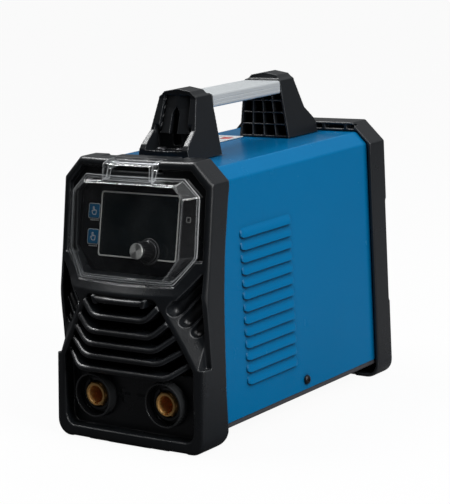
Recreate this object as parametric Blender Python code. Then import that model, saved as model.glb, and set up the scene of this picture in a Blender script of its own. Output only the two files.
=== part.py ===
"""Portable inverter arc-welding power source.

A folded sheet-steel cover and base pan stand between two moulded bezels.
The front bezel carries a tilted display behind a hinged clear guard, an
air-inlet grille and two weld-cable sockets.  A bar handle stands on the
cover on two moulded brackets.  The fan, switch and mains cable are at the
back, and the power electronics stand on the base pan.

Design frame (millimetres): X across, Y from front to back, Z up.  The
design frame is moved by (0, -YC, +ZS) so that the finished object stands
on Z = 0 with the origin at the bottom centre of its bounding box.
"""
import math
import bpy
import bmesh
from mathutils import Vector, Matrix

# --------------------------------------------------------------------------
# driving dimensions, millimetres
# --------------------------------------------------------------------------
MM = 0.001
YC = 126.0            # design Y of the object's middle
ZS = 6.5              # height of the design datum above the floor
GAP = 0.3             # clearance between neighbouring pieces

COVER_HALF_W = 67.3
COVER_BOTTOM_Z = 10.0
COVER_CHAMFER = 9.4
COVER_TOP_Z = 199.4
SHEET = 1.0
COVER_REAR_Y = 229.0

BEZEL_HALF_W = 70.5
BEZEL_TOP_Z = 206.0
BEZEL_BOTTOM_Z = -6.5
REAR_Y0 = 222.0
REAR_Y1 = 245.0
CABLE_END_Y = 275.0
CHIN_Y = -23.0

SOCKET_X = 33.7
SOCKET_Z = 28.2
SOCKET_FRONT_Y = -18.8
SOCKET_R = 17.1
BRASS_R = 8.9
BORE_R = 6.6

FASCIA_TILT = math.radians(12.1)
FASCIA_O = Vector((0.0, 7.9, 156.0))
LID_W = 18.2          # clear guard's front face, in front of the fascia
LID_T = 1.3
HINGE_Y = 9.5
HINGE_Z = 202.3

KNOB_U, KNOB_V = 11.6, -18.4
KNOB_L = 16.0
BUTTONS = (("button_upper", -43.9, 8.8), ("button_lower", -43.4, -10.6))
BUTTON_W, BUTTON_H = 9.8, 10.4

LOUVRE_N = 13
LOUVRE_Z0 = 145.0
LOUVRE_PITCH = 9.33
LOUVRE_Y0, LOUVRE_Y1 = 42.0, 109.0

TUBE_HW, TUBE_Z0, TUBE_Z1 = 18.2, 235.4, 245.8
TUBE_Y0, TUBE_Y1 = 84.4, 174.2

FAN_X, FAN_Z, FAN_SIZE = 0.0, 76.0, 92.0
SWITCH_X, SWITCH_Z = 30.0, 166.0
GLAND_X, GLAND_Z = -34.0, 166.0

# --------------------------------------------------------------------------
# scene and collections
# --------------------------------------------------------------------------
for ob in list(bpy.data.objects):
    bpy.data.objects.remove(ob, do_unlink=True)
PARTS = bpy.data.collections.new("arc_welding_power_source")
CUTTERS = bpy.data.collections.new("cutters")
bpy.context.scene.collection.children.link(PARTS)
bpy.context.scene.collection.children.link(CUTTERS)

MATERIALS = {}


def material(name, rgb, rough, metal=0.0, alpha=1.0):
    m = bpy.data.materials.new(name)
    m.use_nodes = True
    b = m.node_tree.nodes["Principled BSDF"]
    b.inputs["Base Color"].default_value = (rgb[0], rgb[1], rgb[2], 1.0)
    b.inputs["Roughness"].default_value = rough
    b.inputs["Metallic"].default_value = metal
    b.inputs["Alpha"].default_value = alpha
    m.diffuse_color = (rgb[0], rgb[1], rgb[2], alpha)
    return m


# --------------------------------------------------------------------------
# shape helpers; every bmesh is in millimetres in the design frame
# --------------------------------------------------------------------------
def box(x0, x1, y0, y1, z0, z1):
    bm = bmesh.new()
    bmesh.ops.create_cube(bm, size=1.0)
    bmesh.ops.scale(bm, vec=(x1 - x0, y1 - y0, z1 - z0), verts=bm.verts)
    bmesh.ops.translate(bm, vec=((x0 + x1) / 2, (y0 + y1) / 2, (z0 + z1) / 2),
                        verts=bm.verts)
    return bm


def cyl(axis, cx, cy, cz, r, a, b, n=24, r2=None):
    """Cylinder or cone about an axis, from a to b along it."""
    bm = bmesh.new()
    bmesh.ops.create_cone(bm, cap_ends=True, cap_tris=False, segments=n,
                          radius1=r, radius2=r if r2 is None else r2,
                          depth=abs(b - a))
    rot = {"X": Matrix.Rotation(math.pi / 2, 3, "Y"),
           "Y": Matrix.Rotation(-math.pi / 2, 3, "X"),
           "Z": Matrix.Identity(3)}[axis]
    bmesh.ops.rotate(bm, cent=(0, 0, 0), matrix=rot, verts=bm.verts)
    mid = (a + b) / 2
    loc = {"X": (mid, cy, cz), "Y": (cx, mid, cz), "Z": (cx, cy, mid)}[axis]
    bmesh.ops.translate(bm, vec=loc, verts=bm.verts)
    return bm


def prism(poly, axis, a, b):
    """A closed outline pushed along an axis.

    The outline is (y, z) for X, (x, z) for Y and (x, y) for Z."""
    mk = {"X": lambda u, v, h: (h, u, v),
          "Y": lambda u, v, h: (u, h, v),
          "Z": lambda u, v, h: (u, v, h)}[axis]
    bm = bmesh.new()
    f = bm.faces.new([bm.verts.new(mk(p[0], p[1], a)) for p in poly])
    r = bmesh.ops.extrude_face_region(bm, geom=[f])
    top = [v for v in r["geom"] if isinstance(v, bmesh.types.BMVert)]
    bmesh.ops.translate(bm, verts=top, vec=mk(0.0, 0.0, b - a))
    bmesh.ops.recalc_face_normals(bm, faces=bm.faces)
    return bm


def loft(*rings):
    """Outlines with the same number of corners, joined in turn and capped."""
    bm = bmesh.new()
    n = len(rings[0])
    loops = [[bm.verts.new(p) for p in r] for r in rings]
    edges = [[bm.edges.new((l[i], l[(i + 1) % n])) for i in range(n)] for l in loops]
    for a, b in zip(edges, edges[1:]):
        bmesh.ops.bridge_loops(bm, edges=a + b)
    bm.faces.new(loops[0])
    bm.faces.new(loops[-1])
    bmesh.ops.recalc_face_normals(bm, faces=bm.faces)
    return bm


def lathe(profile, cx, cz, n=32):
    """Closed (radius, y) outline turned about an axis parallel to Y."""
    bm = bmesh.new()
    vs = [bm.verts.new((cx + r, y, cz)) for r, y in profile]
    es = [bm.edges.new((vs[i], vs[(i + 1) % len(vs)])) for i in range(len(vs))]
    bmesh.ops.spin(bm, geom=vs + es, cent=(cx, 0, cz), axis=(0, 1, 0),
                   angle=2 * math.pi, steps=n, use_duplicate=False)
    bmesh.ops.remove_doubles(bm, verts=bm.verts, dist=1e-4)
    dead = [e for e in bm.edges if not e.link_faces]
    bmesh.ops.delete(bm, geom=dead, context="EDGES")
    dead = [f for f in bm.faces if f.calc_area() < 1e-9]
    bmesh.ops.delete(bm, geom=dead, context="FACES")
    bmesh.ops.recalc_face_normals(bm, faces=bm.faces)
    return bm


def fillet(pts, radii, n=4):
    out = []
    k = len(pts)
    for i, p in enumerate(pts):
        r = radii[i] if isinstance(radii, (list, tuple)) else radii
        p = Vector(p)
        if r <= 0:
            out.append((p.x, p.y))
            continue
        a = Vector(pts[i - 1]) - p
        b = Vector(pts[(i + 1) % k]) - p
        la, lb = a.length, b.length
        a.normalize()
        b.normalize()
        ang = a.angle(b)
        if ang > math.pi - 1e-3:
            out.append((p.x, p.y))
            continue
        t = min(r / math.tan(ang / 2), 0.48 * la, 0.48 * lb)
        r = t * math.tan(ang / 2)
        c = p + (a + b).normalized() * (r / math.sin(ang / 2))
        p1, p2 = p + a * t - c, p + b * t - c
        a1 = math.atan2(p1.y, p1.x)
        d = (math.atan2(p2.y, p2.x) - a1 + math.pi) % (2 * math.pi) - math.pi
        for j in range(n + 1):
            s = a1 + d * j / n
            out.append((c.x + r * math.cos(s), c.y + r * math.sin(s)))
    return out


def mirror_half(right):
    """Outline of the right half (bottom to top), closed by its mirror."""
    return list(right) + [(-x, z) for x, z in reversed(right)
                          if abs(x) > 1e-6]


def temp(bm):
    me = bpy.data.meshes.new("temp")
    bm.to_mesh(me)
    bm.free()
    ob = bpy.data.objects.new("temp", me)
    CUTTERS.objects.link(ob)
    ob.hide_render = True
    ob.display_type = "WIRE"
    return ob


def boolean(a, b, op="DIFFERENCE"):
    oa, ob = temp(a), temp(b)
    m = oa.modifiers.new("cut", "BOOLEAN")
    m.object = ob
    m.operation = op
    m.solver = "EXACT"
    dg = bpy.context.evaluated_depsgraph_get()
    dg.update()
    me = bpy.data.meshes.new_from_object(oa.evaluated_get(dg))
    out = bmesh.new()
    out.from_mesh(me)
    for o in (oa, ob):
        bpy.data.objects.remove(o, do_unlink=True)
    bpy.data.meshes.remove(me)
    bmesh.ops.remove_doubles(out, verts=out.verts, dist=2e-4)
    bmesh.ops.dissolve_degenerate(out, edges=out.edges, dist=2e-4)
    bmesh.ops.dissolve_limit(out, angle_limit=math.radians(0.05),
                             verts=out.verts, edges=out.edges)
    return out


def cut(a, *tools):
    for t in tools:
        a = boolean(a, t, "DIFFERENCE")
    return a


def join(a, *tools):
    for t in tools:
        a = boolean(a, t, "UNION")
    return a


def both(a, b):
    return boolean(a, b, "INTERSECT")


def mirrored(bm):
    out = bm.copy()
    bmesh.ops.scale(out, vec=(-1, 1, 1), verts=out.verts)
    bmesh.ops.reverse_faces(out, faces=out.faces)
    return out


def slice_planes(bm, xs=(), zs=()):
    """Adds edges along planes so that a bent surface stays smooth."""
    for x in xs:
        bmesh.ops.bisect_plane(bm, geom=bm.verts[:] + bm.edges[:] + bm.faces[:],
                               plane_co=(x, 0, 0), plane_no=(1, 0, 0), dist=1e-4)
    for z in zs:
        bmesh.ops.bisect_plane(bm, geom=bm.verts[:] + bm.edges[:] + bm.faces[:],
                               plane_co=(0, 0, z), plane_no=(0, 0, 1), dist=1e-4)
    return bm


def finish(name, bm, mat, origin=(0.0, YC, -ZS), smooth=0.0):
    """Turns a design-frame bmesh into a named object in metres."""
    o = Vector(origin)
    bmesh.ops.translate(bm, vec=-o, verts=bm.verts)
    bmesh.ops.scale(bm, vec=(MM, MM, MM), verts=bm.verts)
    me = bpy.data.meshes.new(name)
    bm.to_mesh(me)
    bm.free()
    if smooth:
        me.shade_smooth()
        me.set_sharp_from_angle(angle=math.radians(smooth))
    me.materials.append(mat)
    ob = bpy.data.objects.new(name, me)
    ob.location = ((o.x) * MM, (o.y - YC) * MM, (o.z + ZS) * MM)
    PARTS.objects.link(ob)
    return ob


# the fascia's own frame: u across, v up its slope, w out of its face
F_UP = Vector((0.0, math.sin(FASCIA_TILT), math.cos(FASCIA_TILT)))
F_OUT = Vector((0.0, -math.cos(FASCIA_TILT), math.sin(FASCIA_TILT)))


def fas(u, v, w):
    return FASCIA_O + Vector((u, 0, 0)) + F_UP * v + F_OUT * w


def to_fascia(bm):
    """Moves a bmesh built as (x=u, y=-w, z=v) on to the fascia."""
    for p in bm.verts:
        p.co = fas(p.co.x, p.co.z, -p.co.y)
    return bm


def interp(table, z):
    for (z0, v0), (z1, v1) in zip(table, table[1:]):
        if z <= z1:
            t = max(0.0, (z - z0) / (z1 - z0))
            return v0 + (v1 - v0) * t
    return table[-1][1]


# --------------------------------------------------------------------------
# the front bezel's face: a height field y = face(x, z)
# --------------------------------------------------------------------------
SIDE_LINE = [(-6.5, -20.6), (7.5, -19.6), (57.0, -15.0), (109.0, -6.0),
             (144.0, 0.3), (189.0, 8.0), (206.0, 11.0)]
MID_LINE = [(-6.5, -21.0), (7.5, -21.5), (57.0, -23.0), (111.0, -23.0),
            (117.0, -17.0), (137.0, -6.5), (144.0, -5.0), (189.0, 2.0),
            (206.0, 5.0)]
REAR_LINE = [(-6.5, 7.0), (0.0, 10.5), (6.3, 12.1), (34.0, 12.0), (64.0, 13.2),
             (86.0, 14.3), (108.0, 15.8), (130.0, 18.2), (145.0, 20.4),
             (159.0, 23.1), (173.0, 25.8), (187.0, 28.9), (206.0, 29.0)]


def face(x, z):
    c, s = interp(MID_LINE, z), interp(SIDE_LINE, z)
    return c + (s - c) * min(1.0, (x / 70.0) ** 2)


def outline(hw, top, chamfer_x, chamfer_z, bottom, rad, n=4):
    right = fillet([(0.0, bottom), (hw, bottom), (hw, chamfer_z),
                    (chamfer_x, top), (0.0, top)], [0, rad, 0, 0, 0], n)
    return mirror_half(right)


OUTER = outline(BEZEL_HALF_W, BEZEL_TOP_Z, 54.5, 190.3, BEZEL_BOTTOM_Z, 10.0)
INNER = outline(67.8, 200.0, 58.1, 190.3, -3.5, 7.0)


def octagon(dx):
    """The guard's rim line, grown outwards by dx."""
    k = 0.41 * dx
    return mirror_half([(0, 117.2 - dx), (44.5 + k, 117.2 - dx),
                        (61.0 + dx, 137.5 - k), (61.4 + dx, 181.1 + k),
                        (47.5 + k, 194.6 + dx), (0, 194.6 + dx)])


TRAP_IN = fillet([(0, 3.0), (61.0, 3.0), (61.0, 56.0), (31.0, 107.4),
                  (0, 107.4)], [0, 8.0, 4.0, 5.0, 0], 3)
TRAP_IN = mirror_half(TRAP_IN)


def bend(bm):
    """Bends a flat stage, whose y is depth, on to the face."""
    slice_planes(bm, xs=(-56, -42, -28, -14, 0, 14, 28, 42, 56),
                 zs=(7.5, 57.0, 111.0, 117.0, 137.0, 144.0, 189.0))
    for v in bm.verts:
        x, d, z = v.co
        f = face(x, z)
        if d <= 20.0:
            v.co.y = f + d
        else:
            t = (d - 20.0) / 20.0
            v.co.y = (f + 20.0) * (1 - t) + interp(REAR_LINE, z) * t
    bmesh.ops.triangulate(bm, faces=[f for f in bm.faces if len(f.verts) > 4])
    return bm


def build_front_bezel():
    # flat stage: y is the depth behind the face, the rear edge is at 40
    bm = prism(OUTER, "Y", 0.0, 40.0)
    upper = both(prism(INNER, "Y", 9.0, 41.0), box(-80, 80, 0, 60, 131.0, 210))
    lower = both(prism(INNER, "Y", 13.0, 41.0), box(-80, 80, 0, 60, -10, 131.0))
    bm = cut(bm, upper, lower)
    # valley between the outer bead and the guard, and the guard's seat
    bead = mirror_half([(0, 109.0), (40.0, 109.0), (64.2, 135.0),
                        (64.2, 186.0), (51.0, 199.4), (0, 199.4)])
    valley = both(prism(bead, "Y", -1.0, 5.0), box(-80, 80, -2, 60, 136.0, 210))
    seat = prism(octagon(0.5), "Y", -1.0, 1.8)
    bm = cut(bm, valley, seat)
    # display well with its own walls
    bm = join(bm, both(prism(octagon(-1.6), "Y", 4.0, 33.0),
                       box(-80, 80, 0, 60, 100, 200)))
    bm = cut(bm, prism(octagon(-3.6), "Y", -2.0, 45.0))
    # socket panel pocket, and the air inlet above it
    bm = cut(bm, prism(TRAP_IN, "Y", -2.0, 10.5))
    inlet = both(prism(TRAP_IN, "Y", -2.0, 45.0), box(-80, 80, -3, 60, 50.5, 104.5))
    bm = cut(bm, inlet)
    # side triangles between the display ring, the side wall and the frame
    tri = [(66.3, 127.5), (47.5, 106.6), (66.3, 74.0)]
    tri = prism(fillet(tri, [1.0, 2.0, 1.5], 2), "Y", -2.0, 10.0)
    bm = cut(bm, mirrored(tri), tri)
    # the side walls stand back beside the frame
    step = prism([(-2.0, 56.0), (8.6, 56.0), (0.0, 109.0), (-2.0, 109.0)],
                 "X", 65.9, 75.0)
    bm = cut(bm, mirrored(step), step)
    # inclined ribs in the side triangles
    ribs = []
    for cx, cz, ln in ((59.5, 109.6, 22.0), (62.0, 96.0, 14.5), (63.8, 82.6, 9.0)):
        d = Vector((22.0, 25.0)).normalized()
        nn = Vector((-d.y, d.x))
        c = Vector((cx, cz))
        p = [c + d * ln - nn * 1.7, c + d * ln + nn * 1.7,
             c - d * ln + nn * 1.7, c - d * ln - nn * 1.7]
        r = prism([(q.x, q.y) for q in p], "Y", 4.2, 11.0)
        clip = prism([(66.8, 128.0), (46.9, 106.6), (66.8, 72.6)], "Y", 0, 20)
        ribs.append(both(r, clip))
    for r in ribs:
        bm = join(bm, mirrored(r))
        bm = join(bm, r)
    # six curved inlet fins
    for zf, xb, xt in ((104.0, 21.0, 30.5), (92.6, 26.0, 36.0), (81.2, 30.0, 42.0),
                       (71.2, 33.5, 48.0), (62.0, 37.0, 53.6), (52.8, 41.0, 58.8)):
        rise = 9.5 if zf < 100 else 2.6
        top = fillet([(0, zf), (xb, zf), (xt, zf + rise)], [0, 9.0, 0], 3)
        low = fillet([(0, zf - 4.2), (xb + 1.5, zf - 4.2), (xt + 3.0, zf + rise - 4.8)],
                     [0, 9.0, 0], 3)
        # order: right lower edge outwards, right upper edge inwards,
        # then the mirrored upper and lower edges
        lowr = low
        topr = list(reversed(top))
        left_top = [(-x, z) for x, z in top[1:]]
        left_low = [(-x, z) for x, z in reversed(low[1:])]
        fin = lowr + topr + left_top + left_low
        bm = join(bm, prism(fin, "Y", 0.6, 12.0))
    # socket holes
    for s in (-1, 1):
        bm = cut(bm, cyl("Y", s * SOCKET_X, 0, SOCKET_Z, 14.9, 5.0, 20.0, 28))
    bend(bm)
    # hinge notch with pin holes, and the fascia's seat in the well
    bm = cut(bm, box(-24.3, 24.3, -15.0, 15.5, 196.6, 210.0),
             cyl("X", 0, HINGE_Y, HINGE_Z, 1.4, -28.4, 28.4, 12))
    # flat seats for the socket flanges
    for s in (-1, 1):
        bm = cut(bm, cyl("Y", s * SOCKET_X, 0, SOCKET_Z, 17.6, -40.0, -9.9, 28))
    # trim the well's walls behind the fascia
    trim = box(-64.5, 64.5, 0, 60, -60, 60)
    for v in trim.verts:
        v.co = fas(v.co.x, v.co.z, -v.co.y - 5.0)
    keep = prism(octagon(-1.5), "Y", -40, 90)
    bm = cut(bm, both(trim, keep))
    # support ribs under the base pan
    for s in (-1, 1):
        bm = join(bm, box(s * 40 - 1.5, s * 40 + 1.5, -3.0, 9.0, -4.5, 4.6))
    return bm



# --------------------------------------------------------------------------
# display group
# --------------------------------------------------------------------------
def slab(w0, w1, half=90.0):
    bm = box(-half, half, -w1, -w0, -half, half)
    return to_fascia(bm)


def fbox(u0, u1, v0, v1, w0, w1):
    return to_fascia(box(u0, u1, -w1, -w0, v0, v1))


def fprism(poly, w0, w1):
    return to_fascia(prism(poly, "Y", -w1, -w0))


def fcyl(u, v, r, w0, w1, n=28, r2=None):
    return to_fascia(cyl("Y", u, 0, v, r, -w1, -w0, n, r2))


def rrect(w, h, r, cx=0.0, cz=0.0, n=3):
    return fillet([(cx - w / 2, cz - h / 2), (cx + w / 2, cz - h / 2),
                   (cx + w / 2, cz + h / 2), (cx - w / 2, cz + h / 2)], r, n)


def build_fascia():
    bm = both(prism(octagon(-4.0), "Y", -30, 40), slab(-2.0, 0.0))
    bm = cut(bm, fprism(rrect(73.6, 48.0, 2.0), -0.9, 2.0))
    bm = cut(bm, fcyl(KNOB_U, KNOB_V, 3.8, -5, 5, 20))
    for _, u, v in BUTTONS:
        bm = cut(bm, fprism(rrect(BUTTON_W + 0.6, BUTTON_H + 0.6, 1.3, u, v), -5, 5))
    for su in (-1, 1):
        for v in (-28.5, 28.5):
            bm = join(bm, fcyl(su * 41.0, v, 2.2, -11.7, -1.0, 10))
    return bm


def build_lcd_window():
    bm = fprism(rrect(73.0, 47.4, 1.8), -0.6, 0.3)
    return cut(bm, fcyl(KNOB_U, KNOB_V, 10.4, -5, 5, 32))


def build_knob():
    prof = [(3.35, -1.6), (8.6, -1.6), (8.6, -2.6), (6.9, -3.4), (6.2, -KNOB_L + 1.5),
            (3.35, -KNOB_L + 1.5)]
    bm = lathe(prof, KNOB_U, KNOB_V, 28)
    return to_fascia(bm)


def build_lid():
    rim = [(0, 117.2), (11, 117.2), (22, 117.2), (33, 117.2), (44.5, 117.2),
           (53.0, 127.6), (61.0, 137.5), (61.1, 150), (61.25, 166), (61.4, 181.1),
           (47.5, 194.6), (23.5, 194.6)]
    top = [(0, 120.6), (10, 120.6), (20, 120.6), (30, 120.6), (40.0, 120.6),
           (46.6, 129.4), (53.0, 138.6), (53.0, 150), (53.0, 166), (53.0, 181.0),
           (43.8, 190.2), (22.5, 190.2)]

    def full(pts):
        return mirror_half(pts + [(0, pts[-1][1])])

    def shrink(pts, t):
        out = []
        for x, z in pts:
            c = 156.0
            out.append((max(0.0, x - t) if x > 0 else 0.0,
                        z + t if z < 122 else (z - t if z > 189 else z)))
        return out

    def on_face(pts, d):
        return [Vector((x, face(x, z) + d, z)) for x, z in full(pts)]

    def on_plane(pts, w):
        out = []
        for x, z in full(pts):
            v = (z - FASCIA_O.z - w * F_OUT.z) / F_UP.z
            out.append(fas(x, v, w))
        return out

    def back(ring):
        return [Vector((p.x, 60.0, p.z)) for p in ring]

    lip = on_face(rim, 2.6)
    outer = loft(back(lip), lip, on_plane(top, LID_W))
    lip = on_face(shrink(rim, LID_T), 4.0)
    inner = loft([p + Vector((0, 3, 0)) for p in back(lip)], lip,
                 on_plane(shrink(top, LID_T), LID_W - LID_T))
    bm = cut(outer, inner)
    # the open rim follows the seat with a small gap
    behind = box(-80.3, 80.7, 1.1, 20.0, 100.3, 205)
    behind = bend(behind)
    for v in behind.verts:
        if v.co.y > face(v.co.x, v.co.z) + 10.0:
            v.co.y = 70.0
    bm = cut(bm, behind)
    # hinge tab: front plate, top plate and two cheeks
    plate = [(-3.3, 189.4), (-0.8, 203.4), (5.2, 205.7), (12.4, 205.9),
             (12.4, 204.5), (5.5, 204.3), (0.6, 202.4), (-1.8, 189.6)]
    cheek = [(-2.4, 192.0), (-0.4, 203.2), (5.2, 205.5), (12.2, 205.7),
             (13.2, 203.6), (12.2, 200.4), (9.5, 199.2), (5.0, 199.6), (1.5, 192.0)]
    bm = join(bm, prism(plate, "X", -23.5, 23.5))
    for s in (-1, 1):
        a, b = sorted((s * 19.8, s * 23.4))
        bm = join(bm, prism(cheek, "X", a, b))
    bm = cut(bm, cyl("X", 0, HINGE_Y, HINGE_Z, 1.4, -30, 30, 12))
    return bm


# --------------------------------------------------------------------------
# cover, pan, bezels
# --------------------------------------------------------------------------
def cover_outline(off):
    k = 0.414 * off
    hw, top, ch = COVER_HALF_W + off, COVER_TOP_Z + off, COVER_CHAMFER
    return [(hw, COVER_BOTTOM_Z), (hw, 190.0 + k), (57.9 + k, top)]


def build_cover():
    o = cover_outline(0.0)
    i = cover_outline(-SHEET)
    sec = o + [(-x, z) for x, z in reversed(o)] + [(-x, z) for x, z in i] + list(reversed(i))
    bm = prism(sec, "Y", 0.0, COVER_REAR_Y)
    front = [(interp(REAR_LINE, z) - 6.0, z) for z in (5.0, 34.0, 86.0, 130.0, 159.0, 187.0)]
    front = [(-10.0, 5.0)] + front + [(23.0, 205.0), (-10.0, 205.0)]
    bm = cut(bm, prism(front, "X", -80, 80))
    hood, slot = None, None
    for k in range(LOUVRE_N):
        zb = LOUVRE_Z0 - LOUVRE_PITCH * k
        zt = zb + 7.6
        h = prism([(66.9, zt - 0.4), (67.3, zt), (69.4, zb + 1.0), (69.4, zb),
                   (66.9, zb)], "Y", LOUVRE_Y0, LOUVRE_Y1)
        c = prism([(65.0, zb - 0.3), (68.6, zb - 0.3), (68.6, zb + 0.9),
                   (66.8, zt - 1.1), (65.0, zt - 1.1)], "Y",
                  LOUVRE_Y0 + 0.9, LOUVRE_Y1 - 0.9)
        if hood is None:
            hood, slot = h, c
        else:
            for src, dst in ((h, hood), (c, slot)):
                me = bpy.data.meshes.new("t")
                src.to_mesh(me)
                src.free()
                dst.from_mesh(me)
                bpy.data.meshes.remove(me)
    bm = join(bm, mirrored(hood))
    bm = join(bm, hood)
    bm = cut(bm, mirrored(slot))
    bm = cut(bm, slot)
    for s in (-1, 1):
        bm = cut(bm, cyl("X", 0, 121.0, 17.5, 2.3, s * 60, s * 70, 12))
        for y in (52.0, 206.6):
            bm = cut(bm, cyl("Z", s * 9.0, y, 0, 2.9, 190, 205, 12))
    return bm


def build_pan():
    sec = [(-66.0, 24.0), (-66.0, 5.0), (66.0, 5.0), (66.0, 24.0), (64.8, 24.0),
           (64.8, 6.2), (-64.8, 6.2), (-64.8, 24.0)]
    bm = prism(sec, "Y", 4.0, 232.0)
    for s in (-1, 1):
        bm = cut(bm, cyl("X", 0, 121.0, 17.5, 2.3, s * 60, s * 70, 12))
    # press-formed vents under the electronics
    for y in range(60, 200, 14):
        bm = cut(bm, box(-40, -12, y, y + 4, 0, 10), box(12, 40, y, y + 4, 0, 10))
    return bm


REAR_OUT = outline(71.0, 207.0, 53.8, 190.2, BEZEL_BOTTOM_Z, 12.0)


def build_rear_bezel():
    bm = prism(REAR_OUT, "Y", REAR_Y0, REAR_Y1)
    bm = cut(bm, prism(outline(67.8, 200.0, 58.1, 190.3, -3.5, 9.0), "Y",
                       REAR_Y0 - 1, 238.0))
    # recess in the back, then the openings through the panel
    bm = cut(bm, prism(outline(62.0, 199.0, 49.0, 186.0, 3.0, 9.0), "Y", 241.0, 250.0))
    bm = cut(bm, box(-80, 80, 243.6, 250.0, 57.0, 141.0))
    bm = cut(bm, box(SWITCH_X - 13.8, SWITCH_X + 13.8, 230, 250,
                     SWITCH_Z - 10.8, SWITCH_Z + 10.8),
             cyl("Y", GLAND_X, 0, GLAND_Z, 8.3, 230, 250, 24))
    # fan grille: slots between bars inside a ring
    for k in range(-4, 5):
        z = FAN_Z + 8.8 * k
        half = math.sqrt(max(0.0, 40.5 ** 2 - (abs(8.8 * k) + 2.0) ** 2))
        for a, b in ((-half, -2.0), (2.0, half)):
            bm = cut(bm, box(FAN_X + a, FAN_X + b, 230, 250, z - 2.6, z + 2.6))
    # pockets along the front of the top wall
    for x0, x1 in ((-59 + 3, -49), (-46, -29), (-25, -7), (-3, 15), (19, 25), (28, 46), (49, 56)):
        bm = cut(bm, box(x0, x1, REAR_Y0 - 1, REAR_Y0 + 6.0, 201.8, 205.2))
    for s in (-1, 1):
        bm = join(bm, box(s * 40 - 1.5, s * 40 + 1.5, 226.0, 238.5, -4.5, 4.6))
    return bm


# --------------------------------------------------------------------------
# handle
# --------------------------------------------------------------------------
MIRROR_Y = 129.3


def flip_y(bm):
    for v in bm.verts:
        v.co.y = 2 * MIRROR_Y - v.co.y
    bmesh.ops.reverse_faces(bm, faces=bm.faces)
    return bm


def build_bracket():
    side = [(42.0, 199.8), (42.4, 208.0), (44.4, 211.4), (55.3, 221.4), (63.4, 244.6),
            (63.2, 252.2), (80.5, 252.2), (80.5, 247.0), (83.4, 246.6), (84.0, 199.8)]
    front = [(24.5, 199.8), (22.7, 211.4), (21.3, 221.4), (17.6, 245.8), (15.0, 247.4),
             (12.3, 249.9), (0.0, 252.0)]
    front = front + [(-x, z) for x, z in reversed(front[:-1])]
    bm = both(prism(side, "X", -40, 40), prism(front, "Y", 30, 100))
    # screw pocket at the foot, under the hood of the column
    bm = cut(bm, prism([(30.0, 212.5), (44.5, 209.0), (47.0, 206.0), (60.5, 206.0), (60.5, 219.0),
                        (56.5, 226.0), (30, 226.0)], "X", -17.6, 17.6))
    # shallow recess of the column's faces between the side walls
    rec = loft([Vector(p) for p in ((-17.4, 30, 219), (17.4, 30, 219), (13.6, 30, 245), (-13.6, 30, 245))],
               [Vector(p) for p in ((-17.4, 58.0, 219), (17.4, 58.0, 219), (13.6, 66.0, 245), (-13.6, 66.0, 245))])
    col = prism([(60.0, 219.0), (57.2, 219.0), (64.8, 245.2), (80.0, 245.2)], "X", -9.0, 9.0)
    bm = cut(bm, rec)
    bm = join(bm, both(col, box(-30, 30, 56.0, 75.0, 219.2, 245.4)))
    bm = cut(bm, prism([(-2.6, 216.0), (2.6, 216.0), (2.6, 234.5), (0.0, 238.5), (-2.6, 234.5)],
                       "Y", 50.0, 70.0))
    # ribbed hollow on the face under the bar
    xs = (-17.0, -9.0, 0.0, 9.0, 17.0)
    for x0, x1 in zip(xs, xs[1:]):
        for z0, z1 in ((202.4, 210.4), (212.0, 221.6), (223.2, 232.4)):
            k = 1.0 - 0.12 * (z0 > 220)
            bm = cut(bm, box(x0 * k + 0.8, x1 * k - 0.8, 70.0 + 3.0 * (z0 > 220), 90.0, z0, z1))
    # tongue inside the bar
    bm = join(bm, box(-16.2, 16.2, 82.0, 97.0, 237.4, 243.8))
    # screw holes
    for s in (-1, 1):
        bm = cut(bm, cyl("Z", s * 9.0, 52.0, 0, 2.9, 190, 215, 12))
    return bm


def build_tube():
    o = rrect(2 * TUBE_HW, TUBE_Z1 - TUBE_Z0, 1.8, 0, (TUBE_Z0 + TUBE_Z1) / 2, 2)
    i = rrect(2 * TUBE_HW - 3.2, TUBE_Z1 - TUBE_Z0 - 3.2, 0.8, 0, (TUBE_Z0 + TUBE_Z1) / 2, 1)
    bm = prism(o, "Y", TUBE_Y0, TUBE_Y1)
    return cut(bm, prism(i, "Y", TUBE_Y0 - 1, TUBE_Y1 + 1))


def screw_z(x, y, z, head_r=4.2, head_h=2.6, r=2.5, length=13.0):
    bm = cyl("Z", x, y, 0, head_r, z, z + head_h, 16)
    bm = join(bm, cyl("Z", x, y, 0, r, z - length, z + 0.5, 12))
    return cut(bm, box(x - 2.2, x + 2.2, y - 0.45, y + 0.45, z + head_h - 1.1, z + 9),
               box(x - 0.45, x + 0.45, y - 2.2, y + 2.2, z + head_h - 1.1, z + 9))


def screw_x(s, y, z):
    bm = cyl("X", 0, y, z, 3.5, s * 67.6, s * 69.8, 16)
    bm = join(bm, cyl("X", 0, y, z, 2.0, s * 61.2, s * 68.0, 12))
    return cut(bm, box(s * 69.3 - 0.6, s * 69.3 + 0.6, y - 2.0, y + 2.0, z - 0.4, z + 0.4),
               box(s * 69.3 - 0.6, s * 69.3 + 0.6, y - 0.4, y + 0.4, z - 2.0, z + 2.0))


# --------------------------------------------------------------------------
# weld-cable sockets
# --------------------------------------------------------------------------
def build_socket_housing(s):
    f = SOCKET_FRONT_Y
    prof = [(SOCKET_R, f), (SOCKET_R, -10.2), (14.5, -10.2), (14.5, 12.0), (9.4, 12.0),
            (9.4, -9.0), (10.4, -9.8), (10.4, f + 5.6), (12.8, f + 5.6), (12.8, f + 7.2),
            (15.5, f + 7.2), (15.5, f)]
    return lathe(prof, s * SOCKET_X, SOCKET_Z, 24)


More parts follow.
